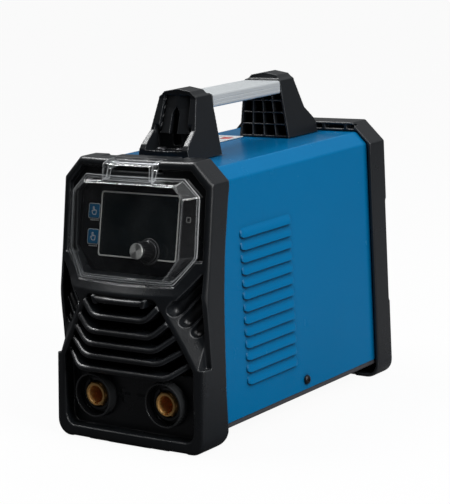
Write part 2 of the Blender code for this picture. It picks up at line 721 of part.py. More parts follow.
def build_socket_insert(s):
    f = SOCKET_FRONT_Y + 3.3
    x = s * SOCKET_X
    bm = cyl("Y", x, 0, SOCKET_Z, BRASS_R, f, 18.0, 28)
    hexa = [(x + 9.9 * math.cos(math.radians(60 * k)),
             SOCKET_Z + 9.9 * math.sin(math.radians(60 * k))) for k in range(6)]
    bm = join(bm, prism(hexa, "Y", f + 1.6, f + 4.6))
    bm = cut(bm, cyl("Y", x, 0, SOCKET_Z, BORE_R, f - 2, 8.0, 28))
    # key slot that the plug's cam enters
    bm = cut(bm, box(x - 2.0, x + 2.0, f - 2, 4.0, SOCKET_Z - BORE_R - 1.2, SOCKET_Z - 3))
    return bm


def build_locknut(s):
    x = s * SOCKET_X
    hexa = [(x + 20.0 * math.cos(math.radians(30 + 60 * k)),
             SOCKET_Z + 20.0 * math.sin(math.radians(30 + 60 * k))) for k in range(6)]
    bm = prism(hexa, "Y", -5.4, 2.0)
    return cut(bm, cyl("Y", x, 0, SOCKET_Z, 14.9, -10, 10, 28))


# --------------------------------------------------------------------------
# fan, switch, gland, cable
# --------------------------------------------------------------------------
def build_fan_frame():
    h = FAN_SIZE / 2
    bm = prism(rrect(FAN_SIZE, FAN_SIZE, 4.0, FAN_X, FAN_Z, 2), "Y", 212.4, 237.4)
    bm = cut(bm, cyl("Y", FAN_X, 0, FAN_Z, h - 2.4, 200, 250, 32))
    hub = cyl("Y", FAN_X, 0, FAN_Z, 17.0, 212.8, 216.0, 20)
    bm = join(bm, hub)
    for k in range(4):
        a = math.radians(45 + 90 * k)
        arm = box(-2.0, 2.0, 213.0, 215.8, 0.0, 47.0)
        bmesh.ops.rotate(arm, cent=(0, 0, 0), matrix=Matrix.Rotation(a, 3, "Y"), verts=arm.verts)
        bmesh.ops.translate(arm, vec=(FAN_X, 0, FAN_Z), verts=arm.verts)
        bm = join(bm, arm)
    return cut(bm, cyl("Y", FAN_X, 0, FAN_Z, 2.6, 200, 220, 12))


def build_fan_rotor():
    bm = cyl("Y", FAN_X, 0, FAN_Z, 17.0, 217.2, 236.2, 24)
    bm = join(bm, cyl("Y", FAN_X, 0, FAN_Z, 2.2, 213.2, 218.0, 12))
    for k in range(7):
        a0 = 2 * math.pi * k / 7
        lo, hi = [], []
        for r in (15.5, 41.5):
            tw = 0.62 - 0.30 * (r - 15.5) / 26.0
            for y, da in ((219.0, -tw / 2), (234.8, tw / 2)):
                lo.append((r, y, a0 + da * (1.5 if r < 20 else 0.95)))
        pts = []
        for r, y, a in lo:
            pts.append(Vector((FAN_X + r * math.cos(a), y, FAN_Z + r * math.sin(a))))
        nrm = (pts[1] - pts[0]).cross(pts[2] - pts[0]).normalized() * 0.8
        quad = [pts[0], pts[1], pts[3], pts[2]]
        bm = join(bm, loft([p - nrm for p in quad], [p + nrm for p in quad]))
    return bm


def build_switch_housing():
    x, z = SWITCH_X, SWITCH_Z
    bm = box(x - 15.5, x + 15.5, 241.3, 243.4, z - 12.5, z + 12.5)
    bm = join(bm, box(x - 13.5, x + 13.5, 222.0, 242.0, z - 10.5, z + 10.5))
    return cut(bm, box(x - 11.5, x + 11.5, 232.0, 250.0, z - 9.2, z + 9.2))


def build_rocker():
    x, z, py = SWITCH_X, SWITCH_Z, 240.5
    a = math.radians(9.0)
    pts = [(-4.5, -4.0), (-4.5, 4.0), (1.5, 8.0), (3.6, 8.0), (1.4, 0.0), (3.6, -8.0), (1.5, -8.0)]
    rot = [(py + y * math.cos(a) + zz * math.sin(a), z - y * math.sin(a) + zz * math.cos(a))
           for y, zz in pts]
    return prism(rot, "X", x - 11.0, x + 11.0)


def build_gland():
    hexa = [(GLAND_X + 11.0 * math.cos(math.radians(60 * k)),
             GLAND_Z + 11.0 * math.sin(math.radians(60 * k))) for k in range(6)]
    bm = prism(hexa, "Y", 241.3, 248.0)
    bm = join(bm, cyl("Y", GLAND_X, 0, GLAND_Z, 8.0, 229.0, 242.5, 24),
              cyl("Y", GLAND_X, 0, GLAND_Z, 10.0, 247.5, 259.0, 24, 7.4))
    return cut(bm, cyl("Y", GLAND_X, 0, GLAND_Z, 5.3, 220.0, 270.0, 20))


def build_gland_nut():
    hexa = [(GLAND_X + 11.6 * math.cos(math.radians(60 * k)),
             GLAND_Z + 11.6 * math.sin(math.radians(60 * k))) for k in range(6)]
    return cut(prism(hexa, "Y", 232.6, 237.6), cyl("Y", GLAND_X, 0, GLAND_Z, 8.4, 220, 250, 24))


def tube_along(points, r, res=2, steps=3):
    """A poly curve with a round bevel and filled caps, made a mesh."""
    cu = bpy.data.curves.new("path", "CURVE")
    cu.dimensions = "3D"
    cu.bevel_depth = r
    cu.bevel_resolution = res
    cu.use_fill_caps = True
    sp = cu.splines.new("POLY")
    sp.points.add(len(points) - 1)
    for p, q in zip(sp.points, points):
        p.co = (q[0], q[1], q[2], 1.0)
    ob = bpy.data.objects.new("path", cu)
    CUTTERS.objects.link(ob)
    dg = bpy.context.evaluated_depsgraph_get()
    dg.update()
    me = bpy.data.meshes.new_from_object(ob.evaluated_get(dg))
    bm = bmesh.new()
    bm.from_mesh(me)
    bpy.data.objects.remove(ob, do_unlink=True)
    bpy.data.meshes.remove(me)
    bmesh.ops.remove_doubles(bm, verts=bm.verts, dist=1e-3)
    bmesh.ops.recalc_face_normals(bm, faces=bm.faces)
    return bm


def smooth_path(pts, n=5):
    """Catmull-Rom points through a list of corners."""
    p = [Vector(q) for q in pts]
    p = [2 * p[0] - p[1]] + p + [2 * p[-1] - p[-2]]
    out = []
    for i in range(1, len(p) - 2):
        for k in range(n):
            t = k / n
            out.append(0.5 * ((2 * p[i]) + (p[i + 1] - p[i - 1]) * t
                              + (2 * p[i - 1] - 5 * p[i] + 4 * p[i + 1] - p[i + 2]) * t * t
                              + (3 * p[i] - p[i - 1] - 3 * p[i + 1] + p[i + 2]) * t ** 3))
    out.append(p[-2])
    return out


# --------------------------------------------------------------------------
# power electronics
# --------------------------------------------------------------------------
def build_heatsink(s):
    x0, x1 = (12.0, 50.0)
    sec = [(x0, 30.0)]
    n = 7
    fin = 1.6
    pitch = (x1 - x0 - fin) / (n - 1)
    for k in range(n):
        a = x0 + pitch * k
        if k:
            sec.append((a, 34.0))
        sec += [(a, 78.0), (a + fin, 78.0)]
        if k < n - 1:
            sec.append((a + fin, 34.0))
    sec.append((x1, 30.0))
    bm = prism(sec, "Y", 108.0, 198.0)
    return bm if s > 0 else mirrored(bm)


def build_main_board():
    bm = box(-60.0, 60.0, 40.0, 203.0, 14.0, 15.6)
    for x in (-54.0, 54.0):
        for y in (46.0, 196.0):
            bm = join(bm, cyl("Z", x, y, 0, 3.0, 6.5, 14.5, 12))
    # rows of power transistors under the heat sinks
    for s in (-1, 1):
        for k in range(4):
            a, b = sorted((s * 20.0, s * 42.0))
            bm = join(bm, box(a, b, 114.0 + 21 * k, 128.0 + 21 * k, 15.0, 29.6))
    return bm


def build_transformer_core():
    bm = box(-24.0, 24.0, 56.0, 84.0, 16.0, 62.0)
    return cut(bm, box(-17.0, -8.0, 50, 90, 23.0, 55.0), box(8.0, 17.0, 50, 90, 23.0, 55.0))


def build_transformer_winding():
    o = rrect(33.0, 41.0, 6.0, 0.0, 70.0, 3)
    i = rrect(17.0, 28.8, 0.5, 0.0, 70.0, 1)
    o = [(x, y) for x, y in o]
    bm = prism(o, "Z", 23.5, 54.5)
    return cut(bm, prism(i, "Z", 18, 66))


def build_choke():
    ring = fillet([(7.5, 56.0), (17.0, 56.0), (17.0, 72.0), (7.5, 72.0)], 3.0, 2)
    return lathe(ring, 43.0, 33.2, 16)


def build_capacitor(k):
    x = -44.0
    y = (52.0, 74.0, 96.0)[k]
    bm = cyl("Z", x, y, 0, 10.8, 15.9, 58.0, 24)
    return bm


def build_busbar(s):
    x = s * SOCKET_X
    bm = box(x - 8.0, x + 8.0, 18.4, 20.4, 14.0, 42.0)
    a, b = sorted((x - 8.0, x + 8.0))
    bm = join(bm, box(a, b, 19.0, 39.4, 14.2, 16.2))
    return cut(bm, cyl("Y", x, 0, SOCKET_Z, 4.3, 10, 30, 16))


def build_terminal_bolt(s):
    x = s * SOCKET_X
    hexa = [(x + 7.4 * math.cos(math.radians(60 * k)),
             SOCKET_Z + 7.4 * math.sin(math.radians(60 * k))) for k in range(6)]
    bm = prism(hexa, "Y", 20.8, 26.0)
    return join(bm, cyl("Y", x, 0, SOCKET_Z, 3.9, 18.3, 21.5, 16))


def moving(name, bm, mat, origin, smooth=0.0):
    return finish(name, bm, mat, origin=origin, smooth=smooth)


# --------------------------------------------------------------------------
# assembly
# --------------------------------------------------------------------------
BLACK = material("bezel_black", (0.022, 0.022, 0.025), 0.55)
BLUE = material("cover_blue", (0.0, 0.125, 0.33), 0.38)
GREY = material("pan_grey", (0.05, 0.05, 0.055), 0.5)
BRACKET = material("bracket_black", (0.03, 0.03, 0.034), 0.6)
ALU = material("tube_aluminium", (0.62, 0.64, 0.65), 0.32, 0.9)
CLEAR = material("guard_clear", (0.75, 0.78, 0.8), 0.05, 0.0, 0.3)
GLOSS = material("fascia_gloss", (0.008, 0.009, 0.014), 0.08)
LCD = material("display_glass", (0.03, 0.045, 0.055), 0.15)
BUTTON = material("button_blue", (0.0, 0.13, 0.32), 0.35)
KNOB = material("knob_black", (0.015, 0.015, 0.017), 0.4)
SPUN = material("knob_cap_aluminium", (0.75, 0.74, 0.72), 0.22, 1.0)
STEEL = material("zinc_steel", (0.55, 0.55, 0.56), 0.35, 1.0)
DARK_STEEL = material("black_steel", (0.03, 0.03, 0.032), 0.35, 0.6)
BRASS = material("socket_brass", (0.72, 0.42, 0.16), 0.25, 1.0)
SOCKET = material("socket_black", (0.02, 0.02, 0.023), 0.42)
PCB = material("board_green", (0.015, 0.12, 0.05), 0.5)
FERRITE = material("ferrite", (0.05, 0.05, 0.052), 0.7)
COPPER = material("copper", (0.7, 0.3, 0.16), 0.3, 1.0)
SLEEVE = material("capacitor_sleeve", (0.02, 0.05, 0.16), 0.35)
FAN = material("fan_black", (0.02, 0.02, 0.02), 0.55)
RUBBER = material("cable_rubber", (0.018, 0.018, 0.018), 0.8)
LABEL = material("label_white", (0.82, 0.83, 0.84), 0.5)
RING = material("knob_ring_black", (0.012, 0.012, 0.014), 0.25)

finish("front_bezel", build_front_bezel(), BLACK)
finish("rear_bezel", build_rear_bezel(), BLACK)
finish("top_cover", build_cover(), BLUE)
finish("base_pan", build_pan(), GREY)

finish("display_fascia", build_fascia(), GLOSS)
finish("lcd_window", build_lcd_window(), LCD)
finish("knob_ring", cut(fcyl(KNOB_U, KNOB_V, 10.0, 0.3, 1.2, 32),
                        fcyl(KNOB_U, KNOB_V, 3.9, -1, 3, 20)), RING, smooth=40)
finish("control_board", fbox(-45, 45, -32, 32, -13.6, -12.0), PCB)
finish("lcd_module", fbox(-35, 35, -9.5, 24, -11.7, -3.0), GREY)
finish("encoder_body", cut(fbox(KNOB_U - 6, KNOB_U + 6, KNOB_V - 6, KNOB_V + 6, -11.7, -3.0),
                           fcyl(KNOB_U, KNOB_V, 3.4, -10.0, 0, 16)), STEEL)
finish("key_switch_upper", fbox(-46.9, -40.9, 5.8, 11.8, -11.7, -3.6), GREY)
finish("key_switch_lower", fbox(-46.4, -40.4, -13.6, -7.6, -11.7, -3.6), GREY)
for nm, u, v in BUTTONS:
    moving(nm, fprism(rrect(BUTTON_W, BUTTON_H, 1.2, u, v), -2.7, 0.6), BUTTON, fas(u, v, 0.6))

moving("knob", build_knob(), KNOB, fas(KNOB_U, KNOB_V, 0), 40)
moving("knob_cap", fcyl(KNOB_U, KNOB_V, 6.1, KNOB_L - 1.2, KNOB_L, 28, 5.5), SPUN,
       fas(KNOB_U, KNOB_V, 0), 40)
moving("encoder_shaft", fcyl(KNOB_U, KNOB_V, 3.0, -9.6, KNOB_L - 1.9, 16), STEEL,
       fas(KNOB_U, KNOB_V, 0), 40)
moving("clear_guard", build_lid(), CLEAR, (0, HINGE_Y, HINGE_Z))
finish("guard_hinge_pin", cyl("X", 0, HINGE_Y, HINGE_Z, 1.1, -28.0, 28.0, 12), STEEL, smooth=40)

finish("handle_bracket_front", build_bracket(), BRACKET)
finish("handle_bracket_rear", flip_y(build_bracket()), BRACKET)
finish("handle_tube", build_tube(), ALU)
stiff = box(-20.0, 20.0, 44.0, 212.6, 196.0, 197.8)
for sx in (-9.0, 9.0):
    for sy in (52.0, 206.6):
        stiff = cut(stiff, cyl("Z", sx, sy, 0, 2.9, 190, 200, 12))
finish("handle_stiffener", stiff, STEEL)
for nm, sx, sy in (("handle_screw_front_left", -9, 52.0), ("handle_screw_front_right", 9, 52.0),
                   ("handle_screw_rear_left", -9, 206.6), ("handle_screw_rear_right", 9, 206.6)):
    finish(nm, screw_z(sx, sy, 206.3), STEEL, smooth=40)
finish("cover_screw_left", screw_x(-1, 121.0, 17.5), DARK_STEEL, smooth=40)
finish("cover_screw_right", screw_x(1, 121.0, 17.5), DARK_STEEL, smooth=40)
finish("top_label", box(-55.0, -19.0, 90.0, 173.5, COVER_TOP_Z + 0.3, COVER_TOP_Z + 0.5), LABEL)

for nm, s in (("left", -1), ("right", 1)):
    finish("socket_housing_" + nm, build_socket_housing(s), SOCKET, smooth=35)
    finish("socket_insert_" + nm, build_socket_insert(s), BRASS, smooth=35)
    finish("socket_locknut_" + nm, build_locknut(s), SOCKET)
    finish("busbar_" + nm, build_busbar(s), COPPER)
    finish("terminal_bolt_" + nm, build_terminal_bolt(s), STEEL)
    finish("heatsink_" + nm, build_heatsink(s), ALU)

finish("fan_frame", build_fan_frame(), FAN)
moving("fan_rotor", build_fan_rotor(), FAN, (FAN_X, 225.0, FAN_Z))
finish("power_switch_housing", build_switch_housing(), FAN)
moving("power_switch_rocker", build_rocker(), KNOB, (SWITCH_X, 240.5, SWITCH_Z))
finish("cable_gland", build_gland(), FAN, smooth=35)
finish("gland_locknut", build_gland_nut(), FAN)
cable = [(GLAND_X, CABLE_END_Y, GLAND_Z), (GLAND_X, 262.0, GLAND_Z), (GLAND_X, 240.0, GLAND_Z),
         (GLAND_X, 226.0, GLAND_Z)]
cable = cable + smooth_path([(GLAND_X, 224.0, GLAND_Z), (GLAND_X, 205.0, 163.0),
                             (GLAND_X, 192.0, 148.0), (GLAND_X, 190.0, 120.0),
                             (GLAND_X, 190.0, 90.0)], 3)
finish("mains_cable", tube_along(cable, 4.9, 2), RUBBER, smooth=50)

finish("main_board", build_main_board(), PCB)
finish("transformer_core", build_transformer_core(), FERRITE)
finish("transformer_winding", build_transformer_winding(), COPPER)
finish("output_choke", build_choke(), COPPER, smooth=50)
for k in range(3):
    finish("capacitor_%d" % (k + 1), build_capacitor(k), SLEEVE, smooth=40)

CUTTERS.hide_render = True
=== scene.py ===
import math
import bpy
import bmesh
from mathutils import Vector, Matrix, noise


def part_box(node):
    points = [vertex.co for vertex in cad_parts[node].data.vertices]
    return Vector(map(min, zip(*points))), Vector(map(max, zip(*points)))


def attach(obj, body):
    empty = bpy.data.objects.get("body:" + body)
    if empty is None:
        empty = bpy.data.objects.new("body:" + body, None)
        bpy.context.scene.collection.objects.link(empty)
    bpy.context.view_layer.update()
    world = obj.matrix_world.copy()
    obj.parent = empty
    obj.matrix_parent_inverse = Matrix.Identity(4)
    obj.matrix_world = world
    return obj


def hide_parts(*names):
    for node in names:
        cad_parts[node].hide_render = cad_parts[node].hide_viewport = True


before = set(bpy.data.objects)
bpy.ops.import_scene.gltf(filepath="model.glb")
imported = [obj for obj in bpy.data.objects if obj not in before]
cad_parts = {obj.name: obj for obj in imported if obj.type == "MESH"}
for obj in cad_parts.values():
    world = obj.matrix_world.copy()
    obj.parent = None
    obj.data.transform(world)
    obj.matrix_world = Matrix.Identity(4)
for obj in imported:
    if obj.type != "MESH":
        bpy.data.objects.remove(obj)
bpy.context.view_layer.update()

MM = 0.001


def nbox(node):
    """A node's box in row-frame millimetres."""
    a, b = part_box(node)
    return a * 1000.0, b * 1000.0


BEZEL_HALF_W = 70.5
BEZEL_TOP_Z = 206.0
BEZEL_BOTTOM_Z = -6.5
REAR_Y0, REAR_Y1 = 222.0, 245.0
_lo, _hi = nbox("rear_bezel")
YC = REAR_Y1 - _hi.y                 # design Y of the row frame's Y = 0
ZS = _lo.z - BEZEL_BOTTOM_Z          # row Z of the design Z = 0


def dbox(node):
    """A node's box in design-frame millimetres."""
    a, b = nbox(node)
    off = Vector((0.0, YC, -ZS))
    return a + off, b + off


def dmid(node):
    a, b = dbox(node)
    return (a + b) / 2


_lo, _hi = dbox("top_cover")
COVER_HALF_W = 67.3
COVER_BOTTOM_Z = _lo.z
COVER_CHAMFER = 9.4
COVER_TOP_Z = _hi.z
COVER_REAR_Y = _hi.y
SHEET = 1.0

SOCKET_X = dmid("socket_housing_right").x
SOCKET_Z = dmid("socket_housing_right").z
SOCKET_FRONT_Y = dbox("socket_housing_right")[0].y
SOCKET_R, BRASS_R, BORE_R = 17.1, 8.9, 6.6

FASCIA_TILT = math.radians(12.1)
FASCIA_O = Vector((0.0, 7.9, 156.0))
F_UP = Vector((0.0, math.sin(FASCIA_TILT), math.cos(FASCIA_TILT)))
F_OUT = Vector((0.0, -math.cos(FASCIA_TILT), math.sin(FASCIA_TILT)))
LID_W, LID_T = 18.2, 1.3
HINGE_Y, HINGE_Z = dmid("guard_hinge_pin").y, dmid("guard_hinge_pin").z
KNOB_U, KNOB_V, KNOB_L = dmid("encoder_shaft").x, -18.4, 16.0
BUTTONS = (("button_upper", -43.9, 8.8), ("button_lower", -43.4, -10.6))
BUTTON_W, BUTTON_H = 9.8, 10.4
LOUVRE_N, LOUVRE_Z0, LOUVRE_PITCH = 13, 145.0, 9.33
LOUVRE_Y0, LOUVRE_Y1 = 42.0, 109.0
_lo, _hi = dbox("handle_tube")
TUBE_HW, TUBE_Z0, TUBE_Z1, TUBE_Y0, TUBE_Y1 = _hi.x, _lo.z, _hi.z, _lo.y, _hi.y
MIRROR_Y = (TUBE_Y0 + TUBE_Y1) / 2
FAN_X, FAN_Z, FAN_SIZE = 0.0, dmid("fan_frame").z, 92.0
SWITCH_X, SWITCH_Z = dmid("power_switch_housing").x, dmid("power_switch_housing").z
GLAND_X, GLAND_Z = dmid("gland_locknut").x, dmid("gland_locknut").z
CABLE_END_Y = dbox("mains_cable")[1].y

CUTTERS = bpy.data.collections.new("cutters")
bpy.context.scene.collection.children.link(CUTTERS)


# --------------------------------------------------------------------------
# shape helpers; every bmesh is in millimetres in the design frame
# --------------------------------------------------------------------------
def box(x0, x1, y0, y1, z0, z1):
    bm = bmesh.new()
    bmesh.ops.create_cube(bm, size=1.0)
    bmesh.ops.scale(bm, vec=(x1 - x0, y1 - y0, z1 - z0), verts=bm.verts)
    bmesh.ops.translate(bm, vec=((x0 + x1) / 2, (y0 + y1) / 2, (z0 + z1) / 2),
                        verts=bm.verts)
    return bm


def cyl(axis, cx, cy, cz, r, a, b, n=24, r2=None):
    """Cylinder or cone about an axis, from a to b along it."""
    bm = bmesh.new()
    bmesh.ops.create_cone(bm, cap_ends=True, cap_tris=False, segments=n,
                          radius1=r, radius2=r if r2 is None else r2,
                          depth=abs(b - a))
    rot = {"X": Matrix.Rotation(math.pi / 2, 3, "Y"),
           "Y": Matrix.Rotation(-math.pi / 2, 3, "X"),
           "Z": Matrix.Identity(3)}[axis]
    bmesh.ops.rotate(bm, cent=(0, 0, 0), matrix=rot, verts=bm.verts)
    mid = (a + b) / 2
    loc = {"X": (mid, cy, cz), "Y": (cx, mid, cz), "Z": (cx, cy, mid)}[axis]
    bmesh.ops.translate(bm, vec=loc, verts=bm.verts)
    return bm


def prism(poly, axis, a, b):
    """A closed outline pushed along an axis.

    The outline is (y, z) for X, (x, z) for Y and (x, y) for Z."""
    mk = {"X": lambda u, v, h: (h, u, v),
          "Y": lambda u, v, h: (u, h, v),
          "Z": lambda u, v, h: (u, v, h)}[axis]
    bm = bmesh.new()
    f = bm.faces.new([bm.verts.new(mk(p[0], p[1], a)) for p in poly])
    r = bmesh.ops.extrude_face_region(bm, geom=[f])
    top = [v for v in r["geom"] if isinstance(v, bmesh.types.BMVert)]
    bmesh.ops.translate(bm, verts=top, vec=mk(0.0, 0.0, b - a))
    bmesh.ops.recalc_face_normals(bm, faces=bm.faces)
    return bm


def loft(*rings):
    """Outlines with the same number of corners, joined in turn and capped."""
    bm = bmesh.new()
    n = len(rings[0])
    loops = [[bm.verts.new(p) for p in r] for r in rings]
    edges = [[bm.edges.new((l[i], l[(i + 1) % n])) for i in range(n)] for l in loops]
    for a, b in zip(edges, edges[1:]):
        bmesh.ops.bridge_loops(bm, edges=a + b)
    bm.faces.new(loops[0])
    bm.faces.new(loops[-1])
    bmesh.ops.recalc_face_normals(bm, faces=bm.faces)
    return bm


def lathe(profile, cx, cz, n=32):
    """Closed (radius, y) outline turned about an axis parallel to Y."""
    bm = bmesh.new()
    vs = [bm.verts.new((cx + r, y, cz)) for r, y in profile]
    es = [bm.edges.new((vs[i], vs[(i + 1) % len(vs)])) for i in range(len(vs))]
    bmesh.ops.spin(bm, geom=vs + es, cent=(cx, 0, cz), axis=(0, 1, 0),
                   angle=2 * math.pi, steps=n, use_duplicate=False)
    bmesh.ops.remove_doubles(bm, verts=bm.verts, dist=2e-3)
    dead = [e for e in bm.edges if not e.link_faces]
    bmesh.ops.delete(bm, geom=dead, context="EDGES")
    dead = [f for f in bm.faces if f.calc_area() < 1e-9]
    bmesh.ops.delete(bm, geom=dead, context="FACES")
    bmesh.ops.recalc_face_normals(bm, faces=bm.faces)
    return bm


def fillet(pts, radii, n=4):
    out = []
    k = len(pts)
    for i, p in enumerate(pts):
        r = radii[i] if isinstance(radii, (list, tuple)) else radii
        p = Vector(p)
        if r <= 0:
            out.append((p.x, p.y))
            continue
        a = Vector(pts[i - 1]) - p
        b = Vector(pts[(i + 1) % k]) - p
        la, lb = a.length, b.length
        a.normalize()
        b.normalize()
        ang = a.angle(b)
        if ang > math.pi - 1e-3:
            out.append((p.x, p.y))
            continue
        t = min(r / math.tan(ang / 2), 0.48 * la, 0.48 * lb)
        r = t * math.tan(ang / 2)
        c = p + (a + b).normalized() * (r / math.sin(ang / 2))
        p1, p2 = p + a * t - c, p + b * t - c
        a1 = math.atan2(p1.y, p1.x)
        d = (math.atan2(p2.y, p2.x) - a1 + math.pi) % (2 * math.pi) - math.pi
        for j in range(n + 1):
            s = a1 + d * j / n
            out.append((c.x + r * math.cos(s), c.y + r * math.sin(s)))
    return out


def mirror_half(right):
    """Outline of the right half (bottom to top), closed by its mirror."""
    return list(right) + [(-x, z) for x, z in reversed(right)
                          if abs(x) > 1e-6]


def temp(bm):
    me = bpy.data.meshes.new("temp")
    bm.to_mesh(me)
    bm.free()
    ob = bpy.data.objects.new("temp", me)
    CUTTERS.objects.link(ob)
    ob.hide_render = True
    ob.display_type = "WIRE"
    return ob


def boolean(a, b, op="DIFFERENCE"):
    oa, ob = temp(a), temp(b)
    m = oa.modifiers.new("cut", "BOOLEAN")
    m.object = ob
    m.operation = op
    m.solver = "EXACT"
    dg = bpy.context.evaluated_depsgraph_get()
    dg.update()
    me = bpy.data.meshes.new_from_object(oa.evaluated_get(dg))
    out = bmesh.new()
    out.from_mesh(me)
    for o in (oa, ob):
        bpy.data.objects.remove(o, do_unlink=True)
    bpy.data.meshes.remove(me)
    bmesh.ops.remove_doubles(out, verts=out.verts, dist=2e-4)
    bmesh.ops.dissolve_degenerate(out, edges=out.edges, dist=2e-4)
    bmesh.ops.dissolve_limit(out, angle_limit=math.radians(0.05),
                             verts=out.verts, edges=out.edges)
    return out


def cut(a, *tools):
    for t in tools:
        a = boolean(a, t, "DIFFERENCE")
    return a


def join(a, *tools):
    for t in tools:
        a = boolean(a, t, "UNION")
    return a


def both(a, b):
    return boolean(a, b, "INTERSECT")


def mirrored(bm):
    out = bm.copy()
    bmesh.ops.scale(out, vec=(-1, 1, 1), verts=out.verts)
    bmesh.ops.reverse_faces(out, faces=out.faces)
    return out


def slice_planes(bm, xs=(), zs=()):
    """Adds edges along planes so that a bent surface stays smooth."""
    for x in xs:
        bmesh.ops.bisect_plane(bm, geom=bm.verts[:] + bm.edges[:] + bm.faces[:],
                               plane_co=(x, 0, 0), plane_no=(1, 0, 0), dist=1e-4)
    for z in zs:
        bmesh.ops.bisect_plane(bm, geom=bm.verts[:] + bm.edges[:] + bm.faces[:],
                               plane_co=(0, 0, z), plane_no=(0, 0, 1), dist=1e-4)
    return bm


def fas(u, v, w):
    return FASCIA_O + Vector((u, 0, 0)) + F_UP * v + F_OUT * w


def to_fascia(bm):
    """Moves a bmesh built as (x=u, y=-w, z=v) on to the fascia."""
    for p in bm.verts:
        p.co = fas(p.co.x, p.co.z, -p.co.y)
    return bm


def interp(table, z):
    for (z0, v0), (z1, v1) in zip(table, table[1:]):
        if z <= z1:
            t = max(0.0, (z - z0) / (z1 - z0))
            return v0 + (v1 - v0) * t
    return table[-1][1]


SIDE_LINE = [(-6.5, -20.6), (7.5, -19.6), (57.0, -15.0), (109.0, -6.0),
             (144.0, 0.3), (189.0, 8.0), (206.0, 11.0)]
MID_LINE = [(-6.5, -21.0), (7.5, -21.5), (57.0, -23.0), (111.0, -23.0),
            (117.0, -17.0), (137.0, -6.5), (144.0, -5.0), (189.0, 2.0),
            (206.0, 5.0)]
REAR_LINE = [(-6.5, 7.0), (0.0, 10.5), (6.3, 12.1), (34.0, 12.0), (64.0, 13.2),
             (86.0, 14.3), (108.0, 15.8), (130.0, 18.2), (145.0, 20.4),
             (159.0, 23.1), (173.0, 25.8), (187.0, 28.9), (206.0, 29.0)]


def face(x, z):
    """The front bezel's face, y at (x, z), with its creases eased."""
    c = s = 0.0
    for k in (-2.0, -1.0, 0.0, 1.0, 2.0):
        zz = min(206.0, max(-6.5, z + k))
        c += interp(MID_LINE, zz) / 5
        s += interp(SIDE_LINE, zz) / 5
    return c + (s - c) * min(1.0, (x / 70.0) ** 2)


def outline(hw, top, chamfer_x, chamfer_z, bottom, rad, n=4):
    right = fillet([(0.0, bottom), (hw, bottom), (hw, chamfer_z),
                    (chamfer_x, top), (0.0, top)], [0, rad, 0, 0, 0], n)
    return mirror_half(right)


def octagon(dx):
    """The guard's rim line, grown outwards by dx."""
    k = 0.41 * dx
    return mirror_half([(0, 117.2 - dx), (44.5 + k, 117.2 - dx),
                        (61.0 + dx, 137.5 - k), (61.4 + dx, 181.1 + k),
                        (47.5 + k, 194.6 + dx), (0, 194.6 + dx)])


def slab(w0, w1, half=90.0):
    bm = box(-half, half, -w1, -w0, -half, half)
    return to_fascia(bm)


def fbox(u0, u1, v0, v1, w0, w1):
    return to_fascia(box(u0, u1, -w1, -w0, v0, v1))


def fprism(poly, w0, w1):
    return to_fascia(prism(poly, "Y", -w1, -w0))


def fcyl(u, v, r, w0, w1, n=28, r2=None):
    return to_fascia(cyl("Y", u, 0, v, r, -w1, -w0, n, r2))


def rrect(w, h, r, cx=0.0, cz=0.0, n=3):
    return fillet([(cx - w / 2, cz - h / 2), (cx + w / 2, cz - h / 2),
                   (cx + w / 2, cz + h / 2), (cx - w / 2, cz + h / 2)], r, n)


def tube_along(points, r, res=2, steps=3):
    """A poly curve with a round bevel and filled caps, made a mesh."""
    cu = bpy.data.curves.new("path", "CURVE")
    cu.dimensions = "3D"
    cu.bevel_depth = r
    cu.bevel_resolution = res
    cu.use_fill_caps = True
    sp = cu.splines.new("POLY")
    sp.points.add(len(points) - 1)
    for p, q in zip(sp.points, points):
        p.co = (q[0], q[1], q[2], 1.0)
    ob = bpy.data.objects.new("path", cu)
    CUTTERS.objects.link(ob)
    dg = bpy.context.evaluated_depsgraph_get()
    dg.update()
    me = bpy.data.meshes.new_from_object(ob.evaluated_get(dg))
    bm = bmesh.new()
    bm.from_mesh(me)
    bpy.data.objects.remove(ob, do_unlink=True)
    bpy.data.meshes.remove(me)
    bmesh.ops.remove_doubles(bm, verts=bm.verts, dist=1e-3)
    bmesh.ops.recalc_face_normals(bm, faces=bm.faces)
    return bm


def smooth_path(pts, n=5):
    """Catmull-Rom points through a list of corners."""
    p = [Vector(q) for q in pts]
    p = [2 * p[0] - p[1]] + p + [2 * p[-1] - p[-2]]
    out = []
    for i in range(1, len(p) - 2):
        for k in range(n):
            t = k / n
            out.append(0.5 * ((2 * p[i]) + (p[i + 1] - p[i - 1]) * t
                              + (2 * p[i - 1] - 5 * p[i] + 4 * p[i + 1] - p[i + 2]) * t * t
                              + (3 * p[i] - p[i - 1] - 3 * p[i + 1] + p[i + 2]) * t ** 3))
    out.append(p[-2])
    return out


def grow(poly, e):
    """Closed outline with every edge moved outwards by e."""
    n = len(poly)
    area = sum(poly[i][0] * poly[(i + 1) % n][1] - poly[(i + 1) % n][0] * poly[i][1]
               for i in range(n))
    sgn = 1.0 if area > 0 else -1.0
    out = []
    for i in range(n):
        p = Vector(poly[i])
        a, b = p - Vector(poly[i - 1]), Vector(poly[(i + 1) % n]) - p
        if a.length < 1e-6 or b.length < 1e-6:
            a = b = (a if a.length > b.length else b)
        a.normalize()
        b.normalize()
        na = Vector((a.y, -a.x)) * sgn
        nb = Vector((b.y, -b.x)) * sgn
        m = (na + nb)
        m = m / max(0.35, m.dot(na))
        out.append((p.x + m.x * e, p.y + m.y * e))
    return out


def ring_y(poly, y):
    return [Vector((x, y, z)) for x, z in poly]


